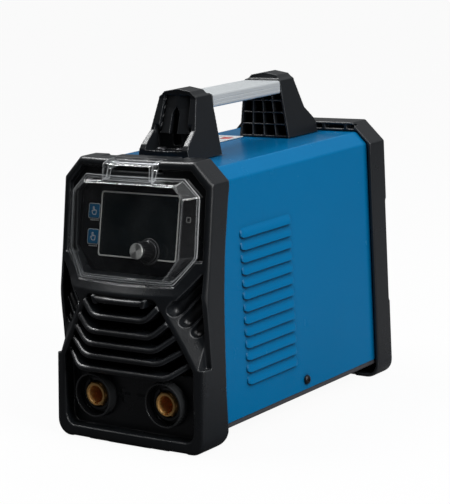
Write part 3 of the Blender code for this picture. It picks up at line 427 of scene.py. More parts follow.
def round_cut(poly, r, back, n=4, front=-1.5):
    """Cutter for a pocket whose front rim is rounded by r."""
    rings = [ring_y(grow(poly, r * 1.02), front)]
    for k in range(n + 1):
        t = math.pi / 2 * k / n
        rings.append(ring_y(grow(poly, r * (1 - math.sin(t))), r * (1 - math.cos(t))))
    rings.append(ring_y(poly, back))
    return loft(*rings)


def sweep(path, prof):
    """Profile of (n, d) along a flat path of (x, z); n is along the path's
    left-hand normal and d is depth."""
    rings = []
    m = len(path)
    for i, p in enumerate(path):
        a = Vector(path[max(0, i - 1)])
        b = Vector(path[min(m - 1, i + 1)])
        t = (b - a).normalized()
        nn = Vector((-t.y, t.x))
        rings.append([Vector((p[0] + nn.x * n, d, p[1] + nn.y * n)) for n, d in prof])
    return loft(*rings)


def sweep3(path, prof, up=Vector((0, 0, 1))):
    """Closed (a, b) profile along a 3-D path."""
    rings = []
    m = len(path)
    for i, p in enumerate(path):
        t = (path[min(m - 1, i + 1)] - path[max(0, i - 1)]).normalized()
        s = t.cross(up).normalized()
        u = s.cross(t).normalized()
        rings.append([p + s * a + u * b for a, b in prof])
    return loft(*rings)


def evaluated(bm, setup):
    """Runs modifiers on a bmesh and returns the result."""
    ob = temp(bm)
    setup(ob)
    dg = bpy.context.evaluated_depsgraph_get()
    dg.update()
    me = bpy.data.meshes.new_from_object(ob.evaluated_get(dg))
    out = bmesh.new()
    out.from_mesh(me)
    old = ob.data
    bpy.data.objects.remove(ob, do_unlink=True)
    bpy.data.meshes.remove(me)
    bpy.data.meshes.remove(old)
    return out


def soften(bm, voxel=0.6, steps=4, keep=1.0, factor=0.5):
    """Moulded look: an even skin whose corners are eased."""
    def setup(ob):
        m = ob.modifiers.new("r", "REMESH")
        m.mode = "VOXEL"
        m.voxel_size = voxel
        m.adaptivity = 0.0
        s = ob.modifiers.new("s", "SMOOTH")
        s.factor = factor
        s.iterations = steps
        if keep < 1.0:
            d = ob.modifiers.new("d", "DECIMATE")
            d.ratio = keep
    return evaluated(bm, setup)


def edged(bm, width, segments=3, angle=28.0):
    def setup(ob):
        m = ob.modifiers.new("b", "BEVEL")
        m.width = width
        m.segments = segments
        m.limit_method = "ANGLE"
        m.angle_limit = math.radians(angle)
        m.use_clamp_overlap = True
    return evaluated(bm, setup)


def subdiv(bm, levels=1):
    def setup(ob):
        m = ob.modifiers.new("s", "SUBSURF")
        m.levels = levels
        m.render_levels = levels
    return evaluated(bm, setup)


def merge(*bms):
    """Several bmeshes as one mesh."""
    out = bms[0]
    for b in bms[1:]:
        me = bpy.data.meshes.new("t")
        b.to_mesh(me)
        b.free()
        out.from_mesh(me)
        bpy.data.meshes.remove(me)
    return out


PIECES = {}


def done(name, bm, mat, nodes=(), body="casing", angle=35.0, bevel=0.0,
         segments=2, sharp=True, local=None, weighted=True):
    """Names a piece, puts it in the row frame and ties it to its body."""
    bmesh.ops.translate(bm, vec=(0, -YC, ZS), verts=bm.verts)
    bmesh.ops.scale(bm, vec=(MM, MM, MM), verts=bm.verts)
    me = bpy.data.meshes.new(name)
    if local is not None:
        bmesh.ops.transform(bm, matrix=local.inverted(), verts=bm.verts)
    bm.to_mesh(me)
    bm.free()
    me.shade_smooth()
    if sharp and not bevel:
        me.set_sharp_from_angle(angle=math.radians(angle))
    me.materials.append(mat)
    ob = bpy.data.objects.new(name, me)
    bpy.context.scene.collection.objects.link(ob)
    if local is not None:
        ob.matrix_world = local
    if bevel:
        m = ob.modifiers.new("bevel", "BEVEL")
        m.width = bevel * MM
        m.segments = segments
        m.limit_method = "ANGLE"
        m.angle_limit = math.radians(28.0)
        m.use_clamp_overlap = True
        m.harden_normals = True
    elif weighted and sharp:
        m = ob.modifiers.new("normals", "WEIGHTED_NORMAL")
        m.keep_sharp = True
    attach(ob, body)
    if nodes:
        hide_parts(*nodes)
    PIECES[name] = ob
    return ob

# --------------------------------------------------------------------------
# procedural materials
# --------------------------------------------------------------------------
class Mat:
    """Small builder for node materials; coordinates are object metres."""

    def __init__(self, name):
        self.m = bpy.data.materials.new(name)
        self.m.use_nodes = True
        self.nt = self.m.node_tree
        self.nt.nodes.clear()
        self.out = self.nt.nodes.new("ShaderNodeOutputMaterial")
        self.b = self.nt.nodes.new("ShaderNodeBsdfPrincipled")
        self.nt.links.new(self.b.outputs[0], self.out.inputs[0])
        self.tc = self.nt.nodes.new("ShaderNodeTexCoord")
        self.co = self.tc.outputs["Object"]
        self.bumps = None

    def node(self, kind, **kw):
        n = self.nt.nodes.new(kind)
        for k, v in kw.items():
            setattr(n, k, v)
        return n

    def link(self, a, b):
        self.nt.links.new(a, b)

    def stretch(self, sx, sy, sz, rot=(0, 0, 0)):
        n = self.node("ShaderNodeMapping")
        n.inputs["Scale"].default_value = (sx, sy, sz)
        n.inputs["Rotation"].default_value = rot
        self.link(self.co, n.inputs[0])
        return n.outputs[0]

    def noise(self, scale, detail=3.0, rough=0.55, vec=None, dist=0.0):
        n = self.node("ShaderNodeTexNoise")
        n.inputs["Scale"].default_value = scale
        n.inputs["Detail"].default_value = detail
        n.inputs["Roughness"].default_value = rough
        n.inputs["Distortion"].default_value = dist
        self.link(vec or self.co, n.inputs["Vector"])
        return n.outputs["Fac"]

    def voronoi(self, scale, feature="F1", vec=None):
        n = self.node("ShaderNodeTexVoronoi", feature=feature)
        n.inputs["Scale"].default_value = scale
        self.link(vec or self.co, n.inputs["Vector"])
        return n.outputs["Distance"]

    def wave(self, scale, axis="X", dist=0.0, kind="BANDS", vec=None):
        n = self.node("ShaderNodeTexWave", wave_type=kind)
        if kind == "BANDS":
            n.bands_direction = axis
        else:
            n.rings_direction = axis
        n.inputs["Scale"].default_value = scale
        n.inputs["Distortion"].default_value = dist
        self.link(vec or self.co, n.inputs["Vector"])
        return n.outputs["Fac"]

    def ramp(self, fac, stops):
        n = self.node("ShaderNodeValToRGB")
        el = n.color_ramp.elements
        while len(el) < len(stops):
            el.new(0.5)
        for e, (p, c) in zip(el, stops):
            e.position = p
            e.color = (c, c, c, 1) if isinstance(c, (int, float)) else (*c, 1)
        self.link(fac, n.inputs[0])
        return n.outputs[0]

    def span(self, fac, lo, hi, a=0.0, b=1.0):
        n = self.node("ShaderNodeMapRange")
        n.inputs["From Min"].default_value = a
        n.inputs["From Max"].default_value = b
        n.inputs["To Min"].default_value = lo
        n.inputs["To Max"].default_value = hi
        self.link(fac, n.inputs["Value"])
        return n.outputs[0]

    def math(self, op, a, b=0.0):
        n = self.node("ShaderNodeMath", operation=op)
        for i, v in enumerate((a, b)):
            if isinstance(v, (int, float)):
                n.inputs[i].default_value = v
            else:
                self.link(v, n.inputs[i])
        return n.outputs[0]

    def mix(self, fac, a, b, mode="MIX"):
        n = self.node("ShaderNodeMix", data_type="RGBA", blend_type=mode)
        for i, v in ((0, fac), (6, a), (7, b)):
            s = n.inputs[i]
            if isinstance(v, (int, float)):
                s.default_value = (v, v, v, 1) if i else float(v)
            elif isinstance(v, tuple):
                s.default_value = (*v, 1)
            else:
                self.link(v, s)
        return n.outputs[2]

    def bump(self, height, strength, dist):
        n = self.node("ShaderNodeBump")
        n.inputs["Strength"].default_value = strength
        n.inputs["Distance"].default_value = dist
        self.link(height, n.inputs["Height"])
        if self.bumps:
            self.link(self.bumps, n.inputs["Normal"])
        self.bumps = n.outputs[0]
        self.link(self.bumps, self.b.inputs["Normal"])

    # pointiness mask of convex edges, used both for rubbed wear and for painted highlights along rims
    def edge_wear_and_highlight(self, lo=0.505, hi=0.56):
        g = self.node("ShaderNodeNewGeometry")
        return self.ramp(g.outputs["Pointiness"], [(lo, 0.0), (hi, 1.0)])

    def set(self, **kw):
        for k, v in kw.items():
            s = self.b.inputs[k.replace("_", " ")]
            if isinstance(v, (int, float)):
                s.default_value = v
            elif isinstance(v, tuple):
                s.default_value = (*v, 1) if len(v) == 3 else v
            else:
                self.link(v, s)
        return self


def scaled(c, k):
    return tuple(min(1.0, x * k) for x in c)


def moulded(name, rgb, rough=0.5, grain=1500.0, depth=0.00006, strength=0.5, edge=2.2,
            edge_highlight_rgb=None, var=0.18, spec=0.5):
    """Spark-eroded moulded plastic: fine grain, cloudy colour, and lighter convex edges, partly rubbed wear and
    partly a painted highlight along the rims.
    """
    m = Mat(name)
    cloud = m.noise(22.0, 3.0)
    base = m.mix(cloud, scaled(rgb, 1 - var), scaled(rgb, 1 + var))
    speck = m.ramp(m.noise(grain * 0.6, 2.0, 0.7), [(0.62, 0.0), (0.78, 1.0)])
    base = m.mix(m.math("MULTIPLY", speck, 0.16), base, scaled(rgb, 3.4))
    # convex edges lightened: the edge colour given for the black plastics is a painted highlight along their rims;
    # the plain lighter tone is partly rubbed wear and partly painted highlight
    if edge:
        rim_wear_and_highlight = m.edge_wear_and_highlight(0.513, 0.560) if edge_highlight_rgb else m.edge_wear_and_highlight()
        base = m.mix(m.math("MULTIPLY", rim_wear_and_highlight, 0.60), base, edge_highlight_rgb or scaled(rgb, edge))
    m.set(Base_Color=base, Roughness=m.span(m.noise(60.0, 4.0), rough - 0.07, rough + 0.08))
    m.b.inputs["Specular IOR Level"].default_value = spec
    m.bump(m.noise(grain, 3.0, 0.65), strength, depth)
    m.bump(m.noise(9.0, 2.0), 0.15, 0.0006)
    return m.m


def painted(name, rgb, rough=0.25):
    """Powder coat: fine orange peel under a thin gloss."""
    m = Mat(name)
    cloud = m.noise(9.0, 3.0)
    base = m.mix(cloud, scaled(rgb, 0.93), scaled(rgb, 1.06))
    speck = m.ramp(m.noise(2600.0, 2.0, 0.7), [(0.6, 0.0), (0.8, 1.0)])
    base = m.mix(m.math("MULTIPLY", speck, 0.10), base, scaled(rgb, 1.7))
    scuff = m.ramp(m.noise(55.0, 6.0, 0.7, m.stretch(1, 0.25, 1)), [(0.66, 0.0), (0.74, 1.0)])
    base = m.mix(m.math("MULTIPLY", scuff, 0.05), base, (0.03, 0.25, 0.42))
    # painted shade: creases under the louvre hoods darkened by ambient occlusion, and the inner faces and hood
    # undersides turned near black
    ao = m.node("ShaderNodeAmbientOcclusion")
    ao.samples = 6
    ao.inputs["Distance"].default_value = 0.006
    base = m.mix(m.span(ao.outputs["AO"], 0.0, 1.0, 0.55, 0.985), scaled(rgb, 0.10), base)
    geo = m.node("ShaderNodeNewGeometry")
    nn = m.node("ShaderNodeSeparateXYZ")
    pp = m.node("ShaderNodeSeparateXYZ")
    m.link(geo.outputs["Normal"], nn.inputs[0])
    m.link(geo.outputs["Position"], pp.inputs[0])
    wall = m.span(m.math("MULTIPLY", nn.outputs[0], pp.outputs[0]), 1.0, 0.0, -0.03, -0.01)
    roof_underside_shade = m.span(m.math("MULTIPLY", nn.outputs[2], m.math("SUBTRACT", pp.outputs[2], 0.10)),
                  1.0, 0.0, -0.09, -0.07)
    # painted shade: inner faces of the sheet and the undersides of the hood lips made near black
    base = m.mix(m.math("MAXIMUM", wall, roof_underside_shade), base, (0.004, 0.005, 0.006))
    m.set(Base_Color=base, Roughness=m.span(m.noise(40.0, 4.0), rough - 0.05, rough + 0.06),
          Coat_Weight=0.0, Coat_Roughness=0.25)
    m.b.inputs["IOR"].default_value = 1.24
    m.bump(m.noise(1100.0, 2.0, 0.5), 0.30, 0.00004)
    m.bump(m.noise(12.0, 2.0), 0.10, 0.0008)
    return m.m


def metal(name, rgb, rough=0.3, along="Y", brush=1.0, metallic=1.0, fine=900.0, var=0.08,
          wearing=True):
    """Drawn or machined metal with a directional grain."""
    m = Mat(name)
    s = {"X": (0.02, 1, 1), "Y": (1, 0.02, 1), "Z": (1, 1, 0.02)}[along]
    streak = m.noise(fine, 4.0, 0.6, m.stretch(*s))
    cloud = m.noise(30.0, 3.0)
    base = m.mix(cloud, scaled(rgb, 1 - var), scaled(rgb, 1 + var))
    base = m.mix(m.math("MULTIPLY", streak, 0.35 * brush), base, scaled(rgb, 0.72))
    if wearing:
        base = m.mix(m.math("MULTIPLY", m.edge_wear_and_highlight(), 0.3), base, scaled(rgb, 1.35))
    m.set(Base_Color=base, Metallic=metallic,
          Roughness=m.span(streak, rough - 0.06, rough + 0.1))
    m.bump(streak, 0.25 * brush, 0.00003)
    return m.m


M = {}
# the last colour given to the bezel, bracket, socket and knob plastics is a painted highlight along their rims
M["bezel"] = moulded("bezel_black", (0.0105, 0.0122, 0.0145), 0.29, 1300.0, 0.00016, 0.6, 4.5,
                     (0.085, 0.090, 0.096), spec=0.48)
M["bracket"] = moulded("bracket_black", (0.0100, 0.0115, 0.0135), 0.31, 1300.0, 0.00014, 0.55, 4.0,
                       (0.080, 0.085, 0.090), spec=0.42)
M["socket"] = moulded("socket_black", (0.0050, 0.0052, 0.0060), 0.27, 1800.0, 0.00003, 0.25, 4.0,
                      (0.10, 0.105, 0.11), spec=0.45)
M["blue"] = painted("cover_blue", (0.0, 0.160, 0.380))
M["pan"] = moulded("pan_grey", (0.045, 0.045, 0.05), 0.42, 900.0, 0.00004, 0.3, 1.6)
M["tube"] = metal("tube_aluminium", (0.63, 0.66, 0.675), 0.44, "Y", 0.22, 0.5, 1400.0, 0.04)
M["steel"] = metal("zinc_steel", (0.42, 0.42, 0.44), 0.32, "X", 0.8)
M["anodised"] = metal("dark_anodised", (0.030, 0.030, 0.033), 0.40, "Z", 0.8, 0.8)
M["dark_steel"] = metal("black_steel", (0.025, 0.025, 0.028), 0.34, "X", 0.6, 0.6)
M["brass"] = metal("socket_brass", (1.0, 0.52, 0.17), 0.24, "X", 0.3, 0.22, 700.0)
M["copper"] = metal("copper", (0.72, 0.30, 0.15), 0.26, "Y", 0.7)
M["fan"] = moulded("fan_black", (0.016, 0.016, 0.017), 0.42, 1600.0, 0.00005, 0.4, 2.4)
M["grey"] = moulded("module_grey", (0.16, 0.16, 0.17), 0.5, 1200.0, 0.00004, 0.4, 1.6)
M["knob"] = moulded("knob_black", (0.008, 0.008, 0.009), 0.22, 1600.0, 0.00003, 0.25, 3.0,
                    (0.12, 0.12, 0.125))
M["ferrite"] = moulded("ferrite", (0.045, 0.044, 0.045), 0.62, 700.0, 0.0001, 0.6, 1.5)
M["rubber"] = moulded("cable_rubber", (0.014, 0.014, 0.014), 0.66, 900.0, 0.00008, 0.5, 2.0)


def make_guard():
    """Clear moulded guard: see-through, with a painted white highlight along its creases and edges."""
    m = Mat("guard_clear")
    fres = m.node("ShaderNodeFresnel")
    fres.inputs["IOR"].default_value = 1.46
    geo = m.node("ShaderNodeNewGeometry")
    bev = m.node("ShaderNodeBevel", samples=6)
    bev.inputs["Radius"].default_value = 0.0015
    dot = m.node("ShaderNodeVectorMath", operation="DOT_PRODUCT")
    m.link(bev.outputs[0], dot.inputs[0])
    m.link(geo.outputs["Normal"], dot.inputs[1])
    crease_highlight = m.ramp(m.math("SUBTRACT", 1.0, dot.outputs["Value"]), [(0.006, 0.0), (0.05, 1.0)])
    haze = m.span(m.noise(35.0, 5.0, 0.65), 0.0, 0.012, 0.35, 0.8)
    dust = m.ramp(m.noise(1500.0, 1.0, 0.5), [(0.80, 0.0), (0.86, 1.0)])
    clear = m.node("ShaderNodeBsdfTransparent")
    clear.inputs[0].default_value = (0.965, 0.972, 0.975, 1)
    gloss = m.node("ShaderNodeBsdfGlossy")
    gloss.inputs["Roughness"].default_value = 0.05
    gloss.inputs[0].default_value = (1, 1, 1, 1)
    dull = m.node("ShaderNodeBsdfDiffuse")
    dull.inputs[0].default_value = (0.78, 0.80, 0.81, 1)
    a = m.node("ShaderNodeMixShader")
    m.link(m.math("MINIMUM", m.math("MULTIPLY", fres.outputs[0], 0.9), 0.24), a.inputs[0])
    m.link(clear.outputs[0], a.inputs[1])
    m.link(gloss.outputs[0], a.inputs[2])
    b = m.node("ShaderNodeMixShader")
    # painted highlight: white diffuse mixed in along creases and edges, on top of the real haze and dust
    body = m.math("ADD", haze, m.math("MULTIPLY", crease_highlight, 0.50))
    body = m.math("ADD", body, m.math("MULTIPLY", dust, 0.05))
    m.link(body, b.inputs[0])
    m.link(a.outputs[0], b.inputs[1])
    m.link(dull.outputs[0], b.inputs[2])
    m.link(b.outputs[0], m.out.inputs[0])
    n = m.node("ShaderNodeBump")
    n.inputs["Strength"].default_value = 0.10
    n.inputs["Distance"].default_value = 0.0004
    m.link(m.noise(45.0, 2.0), n.inputs["Height"])
    m.link(n.outputs[0], gloss.inputs["Normal"])
    m.set(Base_Color=(0.75, 0.78, 0.8), Roughness=0.05, Alpha=0.25)
    return m.m


def make_gloss():
    m = Mat("fascia_gloss")
    dust = m.ramp(m.noise(1700.0, 1.0, 0.5), [(0.74, 0.0), (0.80, 1.0)])
    base = m.mix(m.math("MULTIPLY", dust, 0.3), (0.006, 0.0065, 0.009), (0.10, 0.10, 0.11))
    m.set(Base_Color=base, Roughness=m.span(m.noise(50.0, 5.0, 0.6), 0.05, 0.16))
    m.b.inputs["Specular IOR Level"].default_value = 0.35
    m.bump(m.noise(30.0, 2.0), 0.05, 0.0005)
    return m.m


def make_lcd():
    """Unlit display: smoked glass over a faint row-and-column grid."""
    m = Mat("display_glass")
    gx = m.wave(520.0, "X")
    gz = m.wave(520.0, "Z")
    grid = m.math("MULTIPLY", m.ramp(gx, [(0.0, 0.0), (0.35, 1.0)]), m.ramp(gz, [(0.0, 0.0), (0.35, 1.0)]))
    base = m.mix(grid, (0.003, 0.0065, 0.0085), (0.005, 0.010, 0.0125))
    base = m.mix(m.noise(18.0, 2.0), base, (0.007, 0.0125, 0.0155))
    m.set(Base_Color=base, Roughness=m.span(m.noise(45.0, 5.0), 0.10, 0.20), Coat_Weight=0.3,
          Coat_Roughness=0.06)
    m.b.inputs["Specular IOR Level"].default_value = 0.35
    m.bump(m.noise(25.0, 2.0), 0.04, 0.0005)
    return m.m


def make_print(name, rgb, rough=0.4, metallic=0.0):
    m = Mat(name)
    base = m.mix(m.noise(900.0, 2.0), scaled(rgb, 0.86), scaled(rgb, 1.08))
    m.set(Base_Color=base, Metallic=metallic, Roughness=m.span(m.noise(300.0, 3.0), rough - 0.05, rough + 0.08))
    m.bump(m.noise(2500.0, 2.0), 0.2, 0.00002)
    return m.m


def make_spun():
    """Turned aluminium: rings, and a wedge-shaped shine about local Z painted into the colour."""
    m = Mat("spun_aluminium")
    rings = m.wave(900.0, "Z", 0.4, "RINGS")
    base = m.mix(rings, (0.80, 0.79, 0.76), (0.98, 0.97, 0.94))
    # painted highlight and shade: bright and dark wedges around the axis stand in for the spun finish's shine
    sep = m.node("ShaderNodeSeparateXYZ")
    m.link(m.co, sep.inputs[0])
    turn = m.math("ARCTAN2", sep.outputs[1], sep.outputs[0])
    fan = m.math("COSINE", m.math("ADD", m.math("MULTIPLY", turn, 2.0), 0.9))
    wedge = m.ramp(m.span(fan, 0.0, 1.0, -1.0, 1.0), [(0.10, 0.0), (0.62, 1.0)])
    base = m.mix(wedge, m.mix(0.78, base, (0.10, 0.10, 0.10)), base)
    t = m.node("ShaderNodeTangent", direction_type="RADIAL", axis="Z")
    m.set(Base_Color=base, Metallic=0.25, Roughness=m.span(m.noise(400.0, 3.0), 0.24, 0.34),
          Anisotropic=0.8)
    m.link(t.outputs[0], m.b.inputs["Tangent"])
    m.bump(rings, 0.12, 0.00003)
    return m.m


def make_board():
    """Circuit board: solder mask with tracks, pads and silkscreen boxes."""
    m = Mat("board_green")
    cell = m.node("ShaderNodeTexBrick")
    cell.inputs["Scale"].default_value = 95.0
    cell.inputs["Mortar Size"].default_value = 0.035
    m.link(m.co, cell.inputs["Vector"])
    tracks = m.ramp(m.wave(160.0, "X", 6.0), [(0.55, 0.0), (0.62, 1.0)])
    pads = m.ramp(m.voronoi(300.0), [(0.14, 1.0), (0.2, 0.0)])
    base = m.mix(tracks, (0.004, 0.022, 0.012), (0.007, 0.040, 0.020))
    base = m.mix(cell.outputs["Fac"], base, (0.06, 0.07, 0.06))
    base = m.mix(pads, base, (0.14, 0.12, 0.08))
    m.set(Base_Color=base, Roughness=m.span(m.noise(80.0, 3.0), 0.28, 0.45))
    m.bump(tracks, 0.3, 0.00005)
    return m.m


def make_winding():
    """Enamelled wire laid in close turns."""
    m = Mat("winding_copper")
    turns = m.wave(260.0, "Z", 0.6)
    base = m.mix(turns, (0.07, 0.022, 0.010), (0.26, 0.10, 0.045))
    m.set(Base_Color=base, Metallic=0.85, Roughness=m.span(turns, 0.3, 0.5))
    m.bump(turns, 0.8, 0.0004)
    return m.m


def make_sleeve():
    m = Mat("capacitor_sleeve")
    band = m.ramp(m.wave(10.0, "X", 0.0), [(0.9, 0.0), (0.92, 1.0)])
    base = m.mix(m.noise(60.0, 3.0), (0.008, 0.009, 0.012), (0.014, 0.016, 0.020))
    base = m.mix(m.math("MULTIPLY", band, 0.5), base, (0.12, 0.12, 0.12))
    m.set(Base_Color=base, Roughness=m.span(m.noise(90.0, 3.0), 0.26, 0.4))
    m.bump(m.noise(200.0, 3.0), 0.2, 0.0001)
    return m.m


def make_paper():
    m = Mat("label_white")
    fibre = m.noise(1800.0, 4.0, 0.7)
    base = m.mix(fibre, (0.72, 0.73, 0.74), (0.84, 0.85, 0.86))
    m.set(Base_Color=base, Roughness=m.span(m.noise(70.0, 3.0), 0.42, 0.6))
    m.bump(fibre, 0.2, 0.00003)
    return m.m


M["guard"] = make_guard()
M["gloss"] = make_gloss()
M["lcd"] = make_lcd()
M["silver_ink"] = make_print("silver_ink", (0.92, 0.90, 0.86), 0.3, 0.0)
M["white_ink"] = make_print("white_ink", (0.80, 0.86, 0.90), 0.4)
M["grey_ink"] = make_print("grey_ink", (0.46, 0.46, 0.45), 0.4)
M["red_ink"] = make_print("red_ink", (0.62, 0.03, 0.03), 0.4)
M["button"] = make_print("button_blue", (0.006, 0.155, 0.34), 0.30)
M["spun"] = make_spun()
M["board"] = make_board()
M["winding"] = make_winding()
M["sleeve"] = make_sleeve()
M["paper"] = make_paper()


# --------------------------------------------------------------------------
# front bezel: a flat moulding (y is depth) bent on to its face
# --------------------------------------------------------------------------
TRAP_IN = mirror_half(fillet([(0, 3.0), (61.0, 3.0), (61.0, 56.0), (31.0, 107.4),
                              (0, 107.4)], [0, 8.0, 4.0, 5.0, 0], 6))
INNER = outline(67.8, 200.0, 58.1, 190.3, -3.5, 9.0)
# inlet fins: corner x and height of the level part, tip x, depth and height
FINS = ((24.3, 93.0, 33.3, -21.5, 102.0), (28.6, 81.2, 40.0, -20.5, 90.6),
        (31.8, 71.3, 46.0, -18.5, 81.4), (34.9, 61.8, 50.5, -17.0, 71.0),
        (41.2, 51.5, 55.5, -15.5, 61.0))
FIN_Y = -24.9
F1_Z = 105.6


def fin_path(xc, zc, xt, yt, zt, rr=5.5):
    """Nose line of a fin: level across the middle, then swept up and back."""
    c = Vector((xc, FIN_Y, zc))
    t = Vector((xt, yt, zt))
    arm = (t - c).normalized()
    a, b = c - Vector((rr, 0, 0)), c + arm * rr
    half = [Vector((a.x * k / 4, FIN_Y, zc)) for k in range(4)]
    for k in range(9):
        u = k / 8
        half.append(a * (1 - u) ** 2 + c * 2 * u * (1 - u) + b * u * u)
    half += [b + (t - b) * u for u in (0.33, 0.66, 1.0)] + [t + arm * 7.0]
    return [Vector((-p.x, p.y, p.z)) for p in reversed(half[1:])] + half


def fin_body(path, deep=13.0):
    prof = [(1.25, deep), (1.25, 2.6), (1.05, 1.9), (0.55, 1.15), (-0.35, 0.35), (-0.85, 0.05),
            (-1.15, 0.15), (-1.35, 0.6), (-1.75, 1.25), (-2.3, 1.35), (-2.75, 1.1), (-3.15, 1.25),
            (-3.4, 1.9), (-3.4, deep)]
    rings = []
    m = len(path)
    for i, p in enumerate(path):
        tt = path[min(m - 1, i + 1)] - path[max(0, i - 1)]
        tt = Vector((tt.x, tt.z)).normalized()
        k = Vector((-tt.y, tt.x))
        rings.append([Vector((p.x + k.x * n, p.y + q, p.z + k.y * n)) for n, q in prof])
    return loft(*rings)


def outer_ring(e, d):
    k = 0.414 * e
    p = outline(BEZEL_HALF_W - e, BEZEL_TOP_Z - e, 54.5 - k, 190.3 - k,
                BEZEL_BOTTOM_Z + e, max(2.0, 12.5 - e), 7)
    return ring_y(p, d)


def bend(bm):
    slice_planes(bm, xs=[x for x in range(-64, 65, 8)],
                 zs=[z for z in range(-4, 206, 5)])
    for v in bm.verts:
        x, d, z = v.co
        f = face(x, z)
        if d <= 20.0:
            v.co.y = f + d
        else:
            t = (d - 20.0) / 20.0
            v.co.y = (f + 20.0) * (1 - t) + interp(REAR_LINE, z) * t
    bmesh.ops.triangulate(bm, faces=[f for f in bm.faces if len(f.verts) > 4])
    return bm


def build_front_bezel():
    r = 3.0
    rings = [outer_ring(r * (1 - math.sin(t)), r * (1 - math.cos(t)))
             for t in (math.pi / 2 * k / 4 for k in range(5))]
    bm = loft(*(rings + [outer_ring(0.0, 40.0)]))
    upper = both(prism(INNER, "Y", 9.0, 41.0), box(-80, 80, 0, 60, 131.0, 210))
    lower = both(prism(INNER, "Y", 13.0, 41.0), box(-80, 80, 0, 60, -10, 131.0))
    bm = cut(bm, upper, lower)
    # valley between the rounded outer bead and the guard, and the guard's seat
    bead = mirror_half([(0, 109.0), (40.0, 109.0), (64.2, 135.0),
                        (64.2, 186.0), (51.0, 199.4), (0, 199.4)])
    valley = both(round_cut(bead, 2.4, 5.0), box(-80, 80, -2, 60, 134.5, 210))
    seat = prism(octagon(0.7), "Y", -1.0, 1.8)
    bm = cut(bm, valley, seat)
    bm = join(bm, both(prism(octagon(-1.6), "Y", 4.0, 33.0),
                       box(-80, 80, 0, 60, 100, 200)))
    bm = cut(bm, prism(octagon(-3.6), "Y", -2.0, 45.0))
    # socket panel pocket with a rounded rim, and the air inlet above it
    bm = cut(bm, round_cut(TRAP_IN, 2.2, 10.5))
    inlet = both(prism(TRAP_IN, "Y", -2.0, 45.0), box(-80, 80, -3, 60, 50.5, 104.5))
    bm = cut(bm, inlet)
    # the frame's sloping flank, the fluted field beside it, and the side
    # walls that stand back from both
    t = Vector((30.0, -51.4)).normalized()
    sn = Vector((-t.y, t.x))
    o = Vector((31.0, 107.4))

    def along(sec, u0, u1):
        return loft([Vector((o.x + t.x * u0 + sn.x * q, d, o.y + t.y * u0 + sn.y * q)) for q, d in sec],
                    [Vector((o.x + t.x * u1 + sn.x * q, d, o.y + t.y * u1 + sn.y * q)) for q, d in sec])

    wedge = [(3.6, -2.0), (3.6, -0.05), (4.6, 0.35), (10.8, 5.6), (12.4, 6.6), (60.0, 7.6), (60.0, -2.0)]
    region = prism([(66.3, 127.6), (47.6, 106.6), (40.0, 98.0), (60.0, 57.6), (66.3, 57.6)],
                   "Y", -3.0, 9.0)
    flank = both(along(wedge, -60.0, 90.0), region)
    bm = cut(bm, mirrored(flank))
    bm = cut(bm, flank)
    d = Vector((22.0, 25.0)).normalized()
    nn = Vector((-d.y, d.x))
    for px, pz, w, dep in ((46.0, 100.4, 4.5, 7.6), (53.5, 92.3, 4.5, 7.6), (60.9, 84.4, 4.3, 7.6)):
        rings = []
        for k in range(1, 7):
            f = math.pi / 2 * k / 6
            rings.append((-w * math.cos(f), w * math.sin(f)))
        rings.append((60.0, w))
        rings = [[Vector((px + d.x * q + nn.x * r * math.cos(an), dep + r * math.sin(an),
                          pz + d.y * q + nn.y * r * math.cos(an)))
                  for an in (math.pi * j / 14 for j in range(15))] +
                 [Vector((px + d.x * q - nn.x * r, -3.0, pz + d.y * q - nn.y * r)),
                  Vector((px + d.x * q + nn.x * r, -3.0, pz + d.y * q + nn.y * r))]
                 for q, r in rings]
        f = loft(*rings)
        clip = prism([(66.3, 127.0), (49.0, 107.6), (38.0, 107.6), (38.0, 94.0), (58.0, 62.0), (66.3, 62.0)], "Y", -3, 12.2)
        f = both(f, clip)
        bm = cut(bm, mirrored(f))
        bm = cut(bm, f)
    # the side walls stand back beside the frame
    step = prism([(-2.0, 58.0), (10.8, 56.6), (0.0, 109.0), (-2.0, 109.0)],
                 "X", 65.9, 75.0)
    step = both(step, along([(3.6, -2.0), (3.6, 14.0), (60.0, 14.0), (60.0, -2.0)], -60.0, 90.0))
    bm = cut(bm, mirrored(step), step)
    # polarity marks standing on the socket panel
    for u, w in ((-8.0, True), (8.0, False)):
        bar = round_bar(u, 30.0, 11.0 if w else 8.0, 2.6)
        bm = join(bm, bar)
        if w:
            bm = join(bm, round_bar(u, 30.0, 11.0, 2.6, True))
    for s in (-1, 1):
        bm = cut(bm, cyl("Y", s * SOCKET_X, 0, SOCKET_Z, 14.9, 5.0, 20.0, 48))
    # the foot: a slightly deeper middle pad and two small steps each side
    for a, b, h in ((20.0, 38.0, 0.7), (38.0, 55.0, 1.2), (55.0, 72.0, 0.5)):
        for s in (-1, 1):
            x0, x1 = sorted((s * a, s * b))
            bm = cut(bm, box(x0, x1, -2.0, 30.0, -8.0, BEZEL_BOTTOM_Z + h))
    bend(bm)
    wall = grow(TRAP_IN, 0.9)
    extra = []
    for row in FINS:
        fin = fin_body(fin_path(*row))
        limit = both(prism(wall, "Y", -30, 30), box(-80, 80, -26.2, -6.0 if row[1] < 60 else -5.0, 0, 120))
        extra.append(both(fin, limit))
